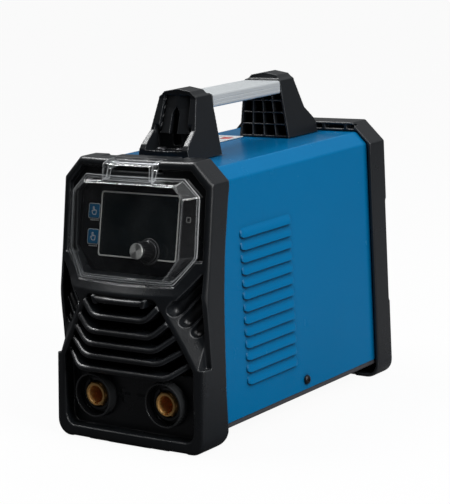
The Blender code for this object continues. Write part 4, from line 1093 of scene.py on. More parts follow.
    # the uppermost bar is straight and closed by a block at each end
    bar = [Vector((x, FIN_Y + 2.0 * (abs(x) / 21.5) ** 4, F1_Z)) for x in (-21.5, -20.5, -12, 0, 12, 20.5, 21.5)]
    extra.append(fin_body(bar, 14.0))
    for s in (-1, 1):
        x0, x1 = sorted((s * 21.9, s * 25.6))
        blk = box(x0, x1, -22.6, -9.0, F1_Z - 4.6, F1_Z + 1.8)
        for v in blk.verts:
            v.co.x += s * 0.35 * (v.co.z - F1_Z)
        extra.append(edged(blk, 0.6, 2))
    bm = cut(bm, box(-24.3, 24.3, -15.0, 15.5, 196.6, 210.0),
             cyl("X", 0, HINGE_Y, HINGE_Z, 1.4, -28.4, 28.4, 16))
    for s in (-1, 1):
        bm = cut(bm, cyl("Y", s * SOCKET_X, 0, SOCKET_Z, 17.6, -40.0, -9.9, 48))
    trim = box(-64.5, 64.5, 0, 60, -60, 60)
    for v in trim.verts:
        v.co = fas(v.co.x, v.co.z, -v.co.y - 5.0)
    bm = cut(bm, both(trim, prism(octagon(-1.5), "Y", -40, 90)))
    # shallow notches in the top edge beside the hinge
    for x0, x1 in ((-41.0, -28.5), (28.5, 33.0)):
        bm = cut(bm, box(x0, x1, 17.5, 40.0, 204.9, 210.0))
    for s in (-1, 1):
        extra.append(box(s * 40 - 1.5, s * 40 + 1.5, -3.0, 9.0, -4.5, 4.6))
    return soften(merge(bm, *extra), 0.58, 3, 0.42)


def round_bar(x, z, length, w, upright=False):
    rings = []
    for e, d in ((0.0, 11.4), (0.0, 10.2), (0.35, 9.75), (0.9, 9.6)):
        hw, hh = length / 2 - e, w / 2 - e
        p = rrect(2 * hw, 2 * max(hh, 0.15), 0.4, 0, 0, 2)
        if upright:
            p = [(-b, a) for a, b in p]
        rings.append(ring_y([(x + a, z + b) for a, b in p], d))
    return loft(*reversed(rings))


done("bezel_front", build_front_bezel(), M["bezel"], ["front_bezel"],
     sharp=False)


# --------------------------------------------------------------------------
# display group
# --------------------------------------------------------------------------
def build_fascia():
    bm = both(prism(octagon(-4.0), "Y", -30, 40), slab(-2.0, 0.0))
    bm = cut(bm, fprism(rrect(73.6, 48.0, 2.0, 0, 0, 5), -0.9, 2.0))
    bm = cut(bm, fcyl(KNOB_U, KNOB_V, 3.8, -5, 5, 40))
    for _, u, v in BUTTONS:
        bm = cut(bm, fprism(rrect(BUTTON_W + 0.6, BUTTON_H + 0.6, 1.3, u, v, 5), -5, 5))
    for su in (-1, 1):
        for v in (-28.5, 28.5):
            bm = join(bm, fcyl(su * 41.0, v, 2.2, -11.7, -1.0, 24))
    return bm


done("fascia_panel", build_fascia(), M["gloss"], ["display_fascia"], bevel=0.25)


def frame_strip(outer, inner, w0, w1):
    return cut(fprism(outer, w0, w1), fprism(inner, w0 - 1, w1 + 1))


def build_lcd():
    bm = fprism(rrect(72.9, 47.3, 1.8, 0, 0, 5), -0.6, 0.22)
    return cut(bm, fcyl(KNOB_U, KNOB_V, 10.4, -5, 5, 64))


done("lcd_panel", build_lcd(), M["lcd"], ["lcd_window"], bevel=0.15)
bezel_line = frame_strip(rrect(74.8, 49.2, 2.4, 0, 0, 6), rrect(72.6, 47.0, 1.6, 0, 0, 6),
                         0.23, 0.42)
bezel_line = cut(bezel_line, fcyl(KNOB_U, KNOB_V, 10.4, -5, 5, 64))
done("display_outline", bezel_line, M["silver_ink"], bevel=0.06)


def build_button(u, v):
    """Soft key: a crowned pad with a shallow frame line."""
    rings = []
    for e, w in ((0.0, -2.7), (0.0, 0.15), (0.12, 0.38), (0.4, 0.46), (1.2, 0.40), (2.0, 0.42),
                 (3.6, 0.44)):
        p = rrect(BUTTON_W - 2 * e, BUTTON_H - 2 * e, max(0.25, 1.2 - e * 0.5), u, v, 5)
        rings.append([Vector((a, -w, b)) for a, b in p])
    bm = loft(*rings)
    return to_fascia(bm)


def hand_icon(u, v):
    """Generic pointing-finger pictogram of small rounded bars."""
    parts = []

    def capsule(x0, z0, x1, z1, r):
        a, b = Vector((u + x0, v + z0)), Vector((u + x1, v + z1))
        t = (b - a).normalized() if (b - a).length > 1e-6 else Vector((0, 1))
        nn = Vector((-t.y, t.x))
        pts = []
        for k in range(9):
            an = math.pi / 2 + math.pi * k / 8
            q = a + t * (r * math.cos(an)) + nn * (r * math.sin(an))
            pts.append((q.x, q.y))
        for k in range(9):
            an = -math.pi / 2 + math.pi * k / 8
            q = b + t * (r * math.cos(an)) + nn * (r * math.sin(an))
            pts.append((q.x, q.y))
        parts.append(fprism(pts, 0.46, 0.56))

    # finger, knuckles and palm outline
    capsule(-0.9, -0.4, -0.9, 2.4, 0.28)
    capsule(0.1, -0.2, 0.1, 2.2, 0.28)
    capsule(-0.9, 2.5, 0.1, 2.4, 0.28)
    capsule(0.2, 0.5, 2.2, -0.1, 0.28)
    capsule(2.3, -0.2, 2.1, -2.2, 0.28)
    capsule(-0.9, -0.5, -2.0, -0.6, 0.28)
    capsule(-2.1, -0.8, -0.9, -3.0, 0.28)
    capsule(-0.8, -3.2, 1.6, -3.2, 0.28)
    capsule(1.7, -3.1, 2.1, -2.3, 0.28)
    return merge(*parts)


for nm, u, v in BUTTONS:
    done(nm + "_pad", build_button(u, v), M["button"], [nm], body=nm, angle=50)
    done(nm + "_icon", hand_icon(u + 0.1, v + 0.5), M["white_ink"], body=nm,
         sharp=True)
    line = frame_strip(rrect(BUTTON_W + 1.3, BUTTON_H + 1.3, 1.7, u, v, 5),
                       rrect(BUTTON_W + 0.55, BUTTON_H + 0.55, 1.3, u, v, 5), 0.0, 0.12)
    done(nm + "_outline", line, M["white_ink"])

# small generic marks: a square and three bars at the right, dashes under
# the keys
marks = []
sq = rrect(4.2, 4.2, 0.9, 46.1, 7.3, 3)
marks.append(frame_strip(sq, grow(sq, -0.65), 0.0, 0.10))
for k in range(3):
    q = rrect(1.9, 4.0, 0.3, 51.0 + 2.6 * k, 7.3, 2)
    marks.append(frame_strip(q, grow(q, -0.45), 0.0, 0.10))
for v in (2.0, -17.6):
    for k in range(5):
        marks.append(fprism(rrect(1.3, 0.9, 0.25, -46.6 + 1.75 * k, v, 2), 0.0, 0.09))
done("fascia_marks", merge(*marks), M["grey_ink"])


def build_ring():
    prof = [(9.99, -0.3), (9.99, -0.75), (9.5, -1.15), (8.9, -1.15), (8.4, -0.8), (4.2, -0.8),
            (4.0, -0.6), (4.0, -0.3)]
    return to_fascia(lathe(prof, KNOB_U, KNOB_V, 72))


done("knob_ring_turned", build_ring(), M["knob"], ["knob_ring"], angle=40)


def build_knob():
    """Knurled grip on a flared skirt; the flutes stop under the cap."""
    n = 144
    levels = [(-1.6, 8.0, 0.0), (-1.75, 8.5, 0.0), (-2.3, 8.6, 0.0), (-2.75, 8.25, 0.0),
              (-3.2, 7.35, 0.0), (-3.6, 6.95, 0.15), (-4.3, 6.85, 0.34), (-11.5, 6.4, 0.34),
              (-13.4, 6.3, 0.30), (-14.1, 6.2, 0.1), (-14.5, 5.95, 0.0)]
    rings = []
    for y, r, f in levels:
        ring = []
        for k in range(n):
            a = 2 * math.pi * k / n
            q = r - f * (0.5 + 0.5 * math.cos(24 * a)) ** 1.6
            ring.append(Vector((KNOB_U + q * math.cos(a), y, KNOB_V + q * math.sin(a))))
        rings.append(ring)
    bm = loft(*rings)
    bm = cut(bm, cyl("Y", KNOB_U, 0, KNOB_V, 3.35, -15.0, -1.0, 32))
    # pointer ridge on the skirt
    bm = join(bm, box(KNOB_U - 0.45, KNOB_U + 0.45, -13.6, -2.4, KNOB_V + 5.6, KNOB_V + 7.2))
    return to_fascia(bm)


done("knob_grip", build_knob(), M["knob"], ["knob"], body="knob", angle=32)

cap_local = Matrix.Identity(4)
_z = F_OUT
_x = Vector((1, 0, 0))
_y = _z.cross(_x)
_c = fas(KNOB_U, KNOB_V, 0.0)
for i, v in enumerate((_x, _y, _z)):
    for j in range(3):
        cap_local[j][i] = v[j]
cap_local[0][3], cap_local[1][3], cap_local[2][3] = (_c.x * MM, (_c.y - YC) * MM,
                                                      (_c.z + ZS) * MM)
cap = lathe([(0.0, -KNOB_L + 1.2), (5.9, -KNOB_L + 1.2), (6.08, -KNOB_L + 1.0),
             (6.05, -KNOB_L + 0.5), (5.75, -KNOB_L + 0.08), (5.45, -KNOB_L),
             (3.2, -KNOB_L + 0.04), (1.2, -KNOB_L + 0.09), (0.0, -KNOB_L + 0.10)],
            KNOB_U, KNOB_V, 72)
done("knob_cap_turned", to_fascia(cap), M["spun"], ["knob_cap"], body="knob",
     local=cap_local, angle=25)


# --------------------------------------------------------------------------
# clear guard
# --------------------------------------------------------------------------
def build_guard():
    rim = [(0, 117.2), (11, 117.2), (22, 117.2), (33, 117.2), (44.5, 117.2),
           (53.0, 127.6), (61.0, 137.5), (61.1, 150), (61.25, 166), (61.4, 181.1),
           (47.5, 194.6), (23.5, 194.6)]
    top = [(0, 120.6), (10, 120.6), (20, 120.6), (30, 120.6), (40.0, 120.6),
           (46.6, 129.4), (53.0, 138.6), (53.0, 150), (53.0, 166), (53.0, 181.0),
           (43.8, 190.2), (22.5, 190.2)]

    def full(pts):
        return mirror_half(pts + [(0, pts[-1][1])])

    def shrink(pts, t):
        out = []
        for x, z in pts:
            out.append((max(0.0, x - t) if x > 0 else 0.0,
                        z + t if z < 122 else (z - t if z > 189 else z)))
        return out

    def on_face(pts, d):
        return [Vector((x, face(x, z) + d, z)) for x, z in full(pts)]

    def on_plane(pts, w):
        out = []
        for x, z in full(pts):
            v = (z - FASCIA_O.z - w * F_OUT.z) / F_UP.z
            out.append(fas(x, v, w))
        return out

    def back(ring):
        return [Vector((p.x, 60.0, p.z)) for p in ring]

    lip = on_face(rim, 2.6)
    outer = loft(back(lip), lip, on_plane(top, LID_W))
    lip = on_face(shrink(rim, LID_T), 4.0)
    inner = loft([p + Vector((0, 3, 0)) for p in back(lip)], lip,
                 on_plane(shrink(top, LID_T), LID_W - LID_T))
    outer = edged(outer, 0.9, 3, 12.0)
    inner = edged(inner, 0.5, 2, 12.0)
    bm = cut(outer, inner)
    behind = bend(box(-80.3, 80.7, 1.1, 20.0, 100.3, 205))
    for v in behind.verts:
        if v.co.y > face(v.co.x, v.co.z) + 10.0:
            v.co.y = 70.0
    bm = cut(bm, behind)
    plate = fillet([(-3.3, 189.4), (-0.8, 203.4), (5.2, 205.7), (12.4, 205.9),
                    (12.4, 204.5), (5.5, 204.3), (0.6, 202.4), (-1.8, 189.6)],
                   [0, 1.6, 1.6, 0.5, 0.5, 1.0, 1.0, 0], 3)
    cheek = fillet([(-2.4, 192.0), (-0.4, 203.2), (5.2, 205.5), (12.2, 205.7),
                    (13.2, 203.6), (12.2, 200.4), (9.5, 199.2), (5.0, 199.6), (1.5, 192.0)],
                   [0, 1.0, 1.0, 0.8, 0.8, 1.2, 1.2, 1.5, 0], 3)
    bm = join(bm, prism(plate, "X", -23.5, 23.5))
    for s in (-1, 1):
        a, b = sorted((s * 19.8, s * 23.4))
        bm = join(bm, prism(cheek, "X", a, b))
    return cut(bm, cyl("X", 0, HINGE_Y, HINGE_Z, 1.4, -30, 30, 24))


done("guard_shell", build_guard(), M["guard"], ["clear_guard"], body="clear_guard",
     angle=24)
pin = merge(lathe([(0.0, -27.6), (0.8, -27.9), (1.08, -27.5), (1.08, 27.5), (0.8, 27.9), (0.0, 27.6)],
                  0, 0, 24))
for v in pin.verts:
    v.co = Vector((v.co.y, HINGE_Y + v.co.x, HINGE_Z + v.co.z))
bmesh.ops.recalc_face_normals(pin, faces=pin.faces)
if pin.calc_volume(signed=True) < 0:
    bmesh.ops.reverse_faces(pin, faces=pin.faces)
done("hinge_pin", pin, M["steel"], ["guard_hinge_pin"])


# --------------------------------------------------------------------------
# weld-cable sockets
# --------------------------------------------------------------------------
def build_socket_body(s):
    f = SOCKET_FRONT_Y
    x = s * SOCKET_X
    prof = [(SOCKET_R - 0.5, f), (SOCKET_R - 0.1, f + 0.25), (SOCKET_R, f + 0.8),
            (SOCKET_R, -10.6), (SOCKET_R - 0.3, -10.2), (14.5, -10.2), (14.5, 12.0),
            (9.4, 12.0), (9.4, -9.0), (10.4, -9.8), (10.4, f + 5.9), (10.7, f + 5.6),
            (12.5, f + 5.6), (12.8, f + 5.9), (12.8, f + 7.2), (15.3, f + 7.2),
            (15.55, f + 6.9), (15.7, f + 0.5), (15.95, f)]
    bm = lathe(prof, x, SOCKET_Z, 96)
    # keyway step in the inner boss, and a vent dimple in the ring
    a = math.radians(112)
    kx, kz = x + 12.0 * math.cos(a), SOCKET_Z + 12.0 * math.sin(a)
    key = box(-2.1, 2.1, f + 4.0, f + 6.9, -1.6, 1.9)
    bmesh.ops.rotate(key, cent=(0, 0, 0), matrix=Matrix.Rotation(-(a - math.pi / 2), 3, "Y"),
                     verts=key.verts)
    bmesh.ops.translate(key, vec=(kx, 0, kz), verts=key.verts)
    bm = cut(bm, key)
    a = math.radians(-42)
    lug = cyl("Y", x + 14.3 * math.cos(a), 0, SOCKET_Z + 14.3 * math.sin(a), 0.95,
              f + 4.6, f + 8.0, 20)
    return join(bm, lug)


def build_socket_brass(s):
    f = SOCKET_FRONT_Y + 3.3
    x = s * SOCKET_X
    prof = [(BORE_R, 8.0), (BORE_R, f + 0.7), (BORE_R + 0.5, f + 0.1), (BORE_R + 0.8, f),
            (BRASS_R - 0.6, f), (BRASS_R - 0.2, f + 0.2), (BRASS_R, f + 0.8), (BRASS_R, 18.0),
            (0.0, 18.0), (0.0, 8.0)]
    bm = lathe(prof, x, SOCKET_Z, 96)
    hexa = [(x + 9.9 * math.cos(math.radians(60 * k)),
             SOCKET_Z + 9.9 * math.sin(math.radians(60 * k))) for k in range(6)]
    nut = edged(prism(hexa, "Y", f + 1.6, f + 4.6), 0.35, 2)
    nut = cut(nut, cyl("Y", x, 0, SOCKET_Z, 8.0, f, f + 6, 48))
    bm = join(bm, nut)
    # cam slot at the side of the bore and the helical step inside
    bm = cut(bm, box(x - 2.0, x + 2.0, f - 2, 4.0, SOCKET_Z - BORE_R - 1.1, SOCKET_Z - 3))
    step = []
    for k in range(19):
        a = math.radians(-70 + 150 * k / 18)
        step.append((x + (BORE_R + 0.95) * math.cos(a), SOCKET_Z + (BORE_R + 0.95) * math.sin(a)))
    for k in range(19):
        a = math.radians(80 - 150 * k / 18)
        step.append((x + (BORE_R - 0.9) * math.cos(a), SOCKET_Z + (BORE_R - 0.9) * math.sin(a)))
    return cut(bm, prism(step, "Y", f + 4.0, f + 12.0))


for nm, s in (("left", -1), ("right", 1)):
    done("socket_body_" + nm, build_socket_body(s), M["socket"], ["socket_housing_" + nm],
         angle=30)
    done("socket_brass_" + nm, build_socket_brass(s), M["brass"], ["socket_insert_" + nm],
         angle=30)


# --------------------------------------------------------------------------
# cover with pressed louvres
# --------------------------------------------------------------------------
def cover_section():
    def side(off, r):
        k = 0.414 * off
        hw, top = COVER_HALF_W + off, COVER_TOP_Z + off
        return fillet([(hw, COVER_BOTTOM_Z), (hw, 190.0 + k), (57.9 + k, top), (0.0, top)],
                      [0, r, r, 0], 6)[:-1]
    o = side(0.0, 3.2)
    i = side(-SHEET, 2.2)
    return o + [(-x, z) for x, z in reversed(o)] + [(-x, z) for x, z in i] + list(reversed(i))


def hood_body(s, zb, off, y0, y1, h, top, low):
    """Closed bulge of a louvre: quarter-round ends, a steep top, a square lip."""
    ny, nz = 40, 8
    x0 = COVER_HALF_W - 0.5
    end = 5.2
    rows = []
    for i in range(ny + 1):
        t = i / ny
        # points crowd towards both ends
        y = y0 + (y1 - y0) * (0.5 - 0.5 * math.cos(math.pi * t))
        u = min(y - y0, y1 - y)
        e = math.sqrt(max(0.0, 1 - (1 - min(1.0, u / end)) ** 2))
        c = 1.0 - math.sqrt(max(0.0, 1 - (1 - min(1.0, u / 4.2)) ** 2))
        t1, l1 = top - (top - low) * 0.52 * c, low + (top - low) * 0.24 * c
        row = []
        for j in range(nz + 1):
            q = j / nz
            p = math.sin(math.pi / 2 * q) ** 0.9
            zz = t1 + (l1 - t1) * q
            # the ends curl downwards with the press's round corners
            zz = zb + zz - 0.0
            row.append(Vector((s * (COVER_HALF_W - 0.05 + h * e * p), y, zz)))
        row.append(Vector((s * x0, y, zb + l1)))
        row.append(Vector((s * x0, y, zb + t1)))
        rows.append(row)
    return loft(*rows)


def rear_of_front(z):
    return interp(REAR_LINE, z) - 6.0


def build_cover():
    bm = prism(cover_section(), "Y", 0.0, COVER_REAR_Y)
    front = [(interp(REAR_LINE, z) - 6.0, z) for z in (5.0, 34.0, 86.0, 130.0, 159.0, 187.0)]
    front = [(-10.0, 5.0)] + front + [(23.0, 205.0), (-10.0, 205.0)]
    bm = cut(bm, prism(front, "X", -80, 80))
    for s in (-1, 1):
        hoods, slots = [], []
        gap = 2.0 if s > 0 else -0.9
        for k in range(LOUVRE_N):
            zb = LOUVRE_Z0 - LOUVRE_PITCH * k
            hoods.append(hood_body(s, zb, 0.0, LOUVRE_Y0, LOUVRE_Y1, 2.6, 7.6, 0.0))
            slots.append(join(hood_body(s, zb, 0.0, LOUVRE_Y0 + 1.0, LOUVRE_Y1 - 1.0, 1.6, 6.4, -0.4),
                              prism(fillet([(LOUVRE_Y0 + 1.2, zb - gap), (LOUVRE_Y1 - 1.2, zb - gap),
                                            (LOUVRE_Y1 - 1.2, zb + 5.2), (LOUVRE_Y0 + 1.2, zb + 5.2)],
                                           [0.6, 0.6, 0.4, 0.4], 4), "X", min(s * 62, s * 66.9),
                                    max(s * 62, s * 66.9))))
        bm = join(bm, merge(*hoods))
        bm = cut(bm, merge(*slots))
    for s in (-1, 1):
        bm = cut(bm, cyl("X", 0, 121.0, 17.5, 2.3, s * 60, s * 70, 24))
        for y in (52.0, 206.6):
            bm = cut(bm, cyl("Z", s * 9.0, y, 0, 2.9, 190, 205, 24))
    return bm


done("cover_pressed", build_cover(), M["blue"], ["top_cover"], angle=38)


def build_pan():
    def side(off, r):
        return fillet([(66.0 - off, 24.0), (66.0 - off, 5.0 + off), (0.0, 5.0 + off)],
                      [0, r, 0], 5)[:-1]
    o = side(0.0, 2.0)
    i = side(1.2, 0.9)
    sec = [(-x, z) for x, z in o] + list(reversed(o)) + i + [(-x, z) for x, z in reversed(i)]
    bm = prism(sec, "Y", 4.0, 232.0)
    for s in (-1, 1):
        bm = cut(bm, cyl("X", 0, 121.0, 17.5, 2.3, s * 60, s * 70, 24))
    slots = []
    for y in range(60, 200, 14):
        slots += [prism(fillet([(-40, y), (-12, y), (-12, y + 4), (-40, y + 4)], 1.9, 4), "Z", 0, 10),
                  prism(fillet([(12, y), (40, y), (40, y + 4), (12, y + 4)], 1.9, 4), "Z", 0, 10)]
    return cut(bm, merge(*slots))


done("pan_folded", build_pan(), M["pan"], ["base_pan"], angle=35)


# --------------------------------------------------------------------------
# rear bezel and what it carries
# --------------------------------------------------------------------------
def rear_ring(e, y, n=6):
    k = 0.414 * e
    return ring_y(outline(71.0 - e, 207.0 - e, 53.8 - k, 190.2 - k, BEZEL_BOTTOM_Z + e,
                          12.0 - e, n), y)


def build_rear_bezel():
    r, q = 2.2, 1.0
    rings = [rear_ring(q * (1 - math.sin(t)), REAR_Y0 + q * (1 - math.cos(t)))
             for t in (math.pi / 2 * k / 3 for k in range(4))]
    rings += [rear_ring(r * (1 - math.cos(t)), REAR_Y1 - r * (1 - math.sin(t)))
              for t in (math.pi / 2 * k / 4 for k in range(5))]
    bm = loft(*rings)
    bm = cut(bm, prism(outline(67.8, 200.0, 58.1, 190.3, -3.5, 9.0, 6), "Y",
                       REAR_Y0 - 1, 238.0))
    back = outline(62.0, 199.0, 49.0, 186.0, 3.0, 9.0, 6)
    rings = [ring_y(back, 241.0)]
    for k in range(5):
        t = math.pi / 2 * k / 4
        rings.append(ring_y(grow(back, 1.6 * (1 - math.cos(t))), 245.0 - 1.6 + 1.6 * math.sin(t)))
    rings.append(ring_y(grow(back, 1.7), 247.0))
    bm = cut(bm, loft(*rings))
    side = prism(fillet([(242.6, 57.0), (250.0, 51.0), (250.0, 147.0), (242.6, 141.0)],
                        [3.0, 0, 0, 3.0], 4), "X", -80, 80)
    bm = cut(bm, side)
    sw = prism(rrect(27.6, 21.6, 1.2, SWITCH_X, SWITCH_Z, 3), "Y", 230, 250)
    bm = cut(bm, sw, cyl("Y", GLAND_X, 0, GLAND_Z, 8.3, 230, 250, 48))
    slots = []
    for k in range(-4, 5):
        z = FAN_Z + 8.8 * k
        half = math.sqrt(max(0.0, 40.5 ** 2 - (abs(8.8 * k) + 2.0) ** 2))
        for a, b in ((-half, -2.0), (2.0, half)):
            pts = fillet([(FAN_X + a, z - 2.6), (FAN_X + b, z - 2.6), (FAN_X + b, z + 2.6),
                          (FAN_X + a, z + 2.6)], 1.8, 4)
            slots.append(round_cut([(x, zz) for x, zz in pts], 0.9, 12.0, 3))
    slots = merge(*slots)
    for v in slots.verts:
        v.co.y = 241.0 - v.co.y
    bmesh.ops.reverse_faces(slots, faces=slots.faces)
    bm = cut(bm, slots)
    # raised ring round the grille
    ring = lathe([(44.5, 240.0), (44.5, 241.8), (45.1, 242.5), (46.6, 242.5), (47.2, 241.8),
                  (47.2, 240.0)], FAN_X, FAN_Z, 96)
    bm = join(bm, ring)
    for x0, x1 in ((-56, -49), (-46, -29), (-25, -7), (-3, 15), (19, 25), (28, 46), (49, 56)):
        bm = cut(bm, box(x0, x1, REAR_Y0 - 1, REAR_Y0 + 6.0, 201.8, 205.2))
    for x0, x1 in ((-48, -30), (-20, 20), (30, 48)):
        bm = cut(bm, box(x0, x1, REAR_Y0 - 1, REAR_Y0 + 5.0, BEZEL_BOTTOM_Z - 1, BEZEL_BOTTOM_Z + 0.8))
    for s in (-1, 1):
        bm = join(bm, box(s * 40 - 1.5, s * 40 + 1.5, 226.0, 238.5, -4.5, 4.6))
    return soften(bm, 0.62, 3, 0.40)


done("bezel_rear", build_rear_bezel(), M["bezel"], ["rear_bezel"], sharp=False)


# --------------------------------------------------------------------------
# handle
# --------------------------------------------------------------------------
def flip_y(bm):
    for v in bm.verts:
        v.co.y = 2 * MIRROR_Y - v.co.y
    bmesh.ops.reverse_faces(bm, faces=bm.faces)
    return bm


def build_bracket():
    side = [(42.0, 199.8), (42.4, 208.0), (44.4, 211.4), (55.3, 221.4), (63.4, 244.6),
            (63.2, 252.2), (80.5, 252.2), (80.5, 247.0), (83.4, 246.6), (84.0, 199.8)]
    front = [(24.5, 199.8), (22.7, 211.4), (21.3, 221.4), (17.6, 245.8), (15.0, 247.4),
             (12.3, 249.9), (0.0, 252.0)]
    front = front + [(-x, z) for x, z in reversed(front[:-1])]
    bm = both(prism(side, "X", -40, 40), prism(front, "Y", 30, 100))
    # pocket at the foot behind a V-dipped lip
    bm = cut(bm, prism([(45.5, 206.0), (60.5, 206.0), (60.5, 219.6), (56.5, 226.0), (30, 226.0),
                        (30, 214.6)], "X", -17.6, 17.6))
    lip = prism([(-17.6, 230.0), (-17.6, 214.4), (0.0, 211.0), (17.6, 214.4), (17.6, 230.0)],
                "Y", 30.0, 50.0)
    bm = cut(bm, lip)
    for s in (-1, 1):
        t = prism([(s * 17.6, 214.6), (0.0, 211.2), (0.0, 199.0), (s * 17.6, 199.0)],
                  "Y", 40.0, 42.9)
        for v in t.verts:
            if v.co.y > 42:
                v.co.y = 43.4 - 1.6 * abs(v.co.x) / 17.6
        bm = cut(bm, t)
    # a column fills the hollow between the side walls: two faces meeting in
    # a centre ridge nearly level with the walls
    def wall_y(z):
        return 55.3 + 0.349 * (z - 221.4)

    rec = loft([Vector(p) for p in ((-14.2, 30, 216.5), (14.2, 30, 216.5), (12.2, 30, 247.2), (-12.2, 30, 247.2))],
               [Vector(p) for p in ((-14.2, 60.0, 216.5), (14.2, 60.0, 216.5), (12.2, 69.0, 247.2), (-12.2, 69.0, 247.2))])
    bm = cut(bm, rec)
    rows = []
    for z in (218.6, 221.0, 228.0, 237.0, 247.6):
        w = 14.5 - 2.0 * (z - 216.5) / 30.7
        row = [Vector((x, min(wall_y(z), 63.4) + 0.35 + 0.21 * abs(x), z)) for x in (-w, -w * 0.5, 0.0, w * 0.5, w)]
        row += [Vector((w, 76.0, z)), Vector((-w, 76.0, z))]
        rows.append(row)
    bm = join(bm, loft(*rows))
    seams = []
    for s in (-1, 1):
        seams.append(loft(*[[Vector((s * (14.2 - 2.0 * (z - 216.5) / 30.7 - 0.45 + a), wall_y(z) + d, z))
                             for a, d in ((-0.45, 1.5), (0.45, 1.5), (0.45, 5.0), (-0.45, 5.0))]
                            for z in (218.8, 246.4)]))
    bm = cut(bm, merge(*seams))
    slot = prism([(-3.7, 209.0), (3.7, 209.0), (3.7, 232.5), (2.9, 234.9), (0.0, 238.8), (-2.9, 234.9),
                  (-3.7, 232.5)], "Y", 40.0, 67.0)
    bm = cut(bm, slot)
    # small side shoulders of the cap
    for s in (-1, 1):
        bm = cut(bm, box(min(s * 15.5, s * 30), max(s * 15.5, s * 30), 50.0, 69.0, 249.0, 260.0))
    # ribbed hollow on the face under the bar
    def half(z):
        return interp(((199.8, 24.5), (211.4, 22.7), (221.4, 21.3), (245.8, 17.6)), z) - 1.5

    cells = []
    for z0, z1 in ((201.3, 209.9), (210.9, 219.5), (220.5, 229.1), (230.1, 236.6)):
        for k in range(-2, 2):
            pts = [(half(z0) * k / 2 + 0.5, z0), (half(z0) * (k + 1) / 2 - 0.5, z0),
                   (half(z1) * (k + 1) / 2 - 0.5, z1), (half(z1) * k / 2 + 0.5, z1)]
            cells.append(prism(fillet(pts, 0.9, 3), "Y", 69.0 + 3.0 * (z0 > 220), 90.0))
    bm = cut(bm, merge(*cells))
    bm = join(bm, box(-16.2, 16.2, 82.0, 97.0, 237.4, 243.8))
    for s in (-1, 1):
        bm = cut(bm, cyl("Z", s * 9.0, 52.0, 0, 2.9, 190, 215, 24))
    return soften(bm, 0.42, 3, 0.6)


BRK = build_bracket()
BRK2 = flip_y(BRK.copy())
done("bracket_front", BRK, M["bracket"], ["handle_bracket_front"], sharp=False)
done("bracket_rear", BRK2, M["bracket"], ["handle_bracket_rear"], sharp=False)


def build_tube():
    """Extruded oval bar with shallow running grooves on its sides."""
    h = TUBE_Z1 - TUBE_Z0
    zc = (TUBE_Z0 + TUBE_Z1) / 2
    o = rrect(2 * TUBE_HW, h, 2.0, 0, zc, 8)
    bm = prism(o, "Y", TUBE_Y0, TUBE_Y1)
    bm = cut(bm, prism(rrect(2 * TUBE_HW - 3.2, h - 3.2, 0.8, 0, zc, 3), "Y", TUBE_Y0 - 1, TUBE_Y1 + 1))
    grooves = []
    for s in (-1, 1):
        for dz in (-2.0, 0.6):
            grooves.append(cyl("Y", s * (TUBE_HW + 0.22), 0, zc + dz, 0.42, TUBE_Y0 - 1, TUBE_Y1 + 1, 12))
        for dx in (6.0, 11.5):
            grooves.append(cyl("Y", s * dx, 0, TUBE_Z1 + 0.22, 0.42, TUBE_Y0 - 1, TUBE_Y1 + 1, 12))
    return cut(bm, merge(*grooves))


done("handle_bar", build_tube(), M["tube"], ["handle_tube"], angle=24)


def pan_head(x, y, z, r, h, shank, length, n=40):
    """Pan-head screw with a cross recess; axis Z, seat at z."""
    prof = [(0.0, -(z + h)), (r * 0.35, -(z + h)), (r * 0.72, -(z + h * 0.9)), (r * 0.93, -(z + h * 0.62)),
            (r, -(z + h * 0.3)), (r, -z), (shank, -z), (shank, -(z - length + 1.0)),
            (shank - 0.7, -(z - length)), (0.0, -(z - length))]
    bm = lathe(prof, 0.0, 0.0, n)
    for v in bm.verts:
        v.co = Vector((v.co.x + x, v.co.z + y, -v.co.y))
    for wx, wy in ((0.55, 0.13), (0.13, 0.55)):
        c = loft([Vector((x - r * wx, y - r * wy, z + h + 0.5)), Vector((x + r * wx, y - r * wy, z + h + 0.5)),
                  Vector((x + r * wx, y + r * wy, z + h + 0.5)), Vector((x - r * wx, y + r * wy, z + h + 0.5))],
                 [Vector((x - r * wx * 0.6, y - r * wy * 0.7, z + h * 0.3)), Vector((x + r * wx * 0.6, y - r * wy * 0.7, z + h * 0.3)),
                  Vector((x + r * wx * 0.6, y + r * wy * 0.7, z + h * 0.3)), Vector((x - r * wx * 0.6, y + r * wy * 0.7, z + h * 0.3))])
        bm = cut(bm, c)
    return bm


for nm, sx, sy in (("front_left", -9, 52.0), ("front_right", 9, 52.0),
                   ("rear_left", -9, 206.6), ("rear_right", 9, 206.6)):
    done("bracket_screw_" + nm, pan_head(sx, sy, 206.3, 4.2, 2.6, 2.5, 13.0), M["dark_steel"],
         ["handle_screw_" + nm], angle=32)
for nm, s in (("left", -1), ("right", 1)):
    bm = pan_head(0, 0, 0.0, 3.5, 2.2, 2.0, 6.3)
    for v in bm.verts:
        v.co = Vector((s * (67.6 + v.co.z), 121.0 + s * v.co.x, 17.5 + v.co.y))
    done("side_screw_" + nm, bm, M["dark_steel"], ["cover_screw_" + nm], angle=32)


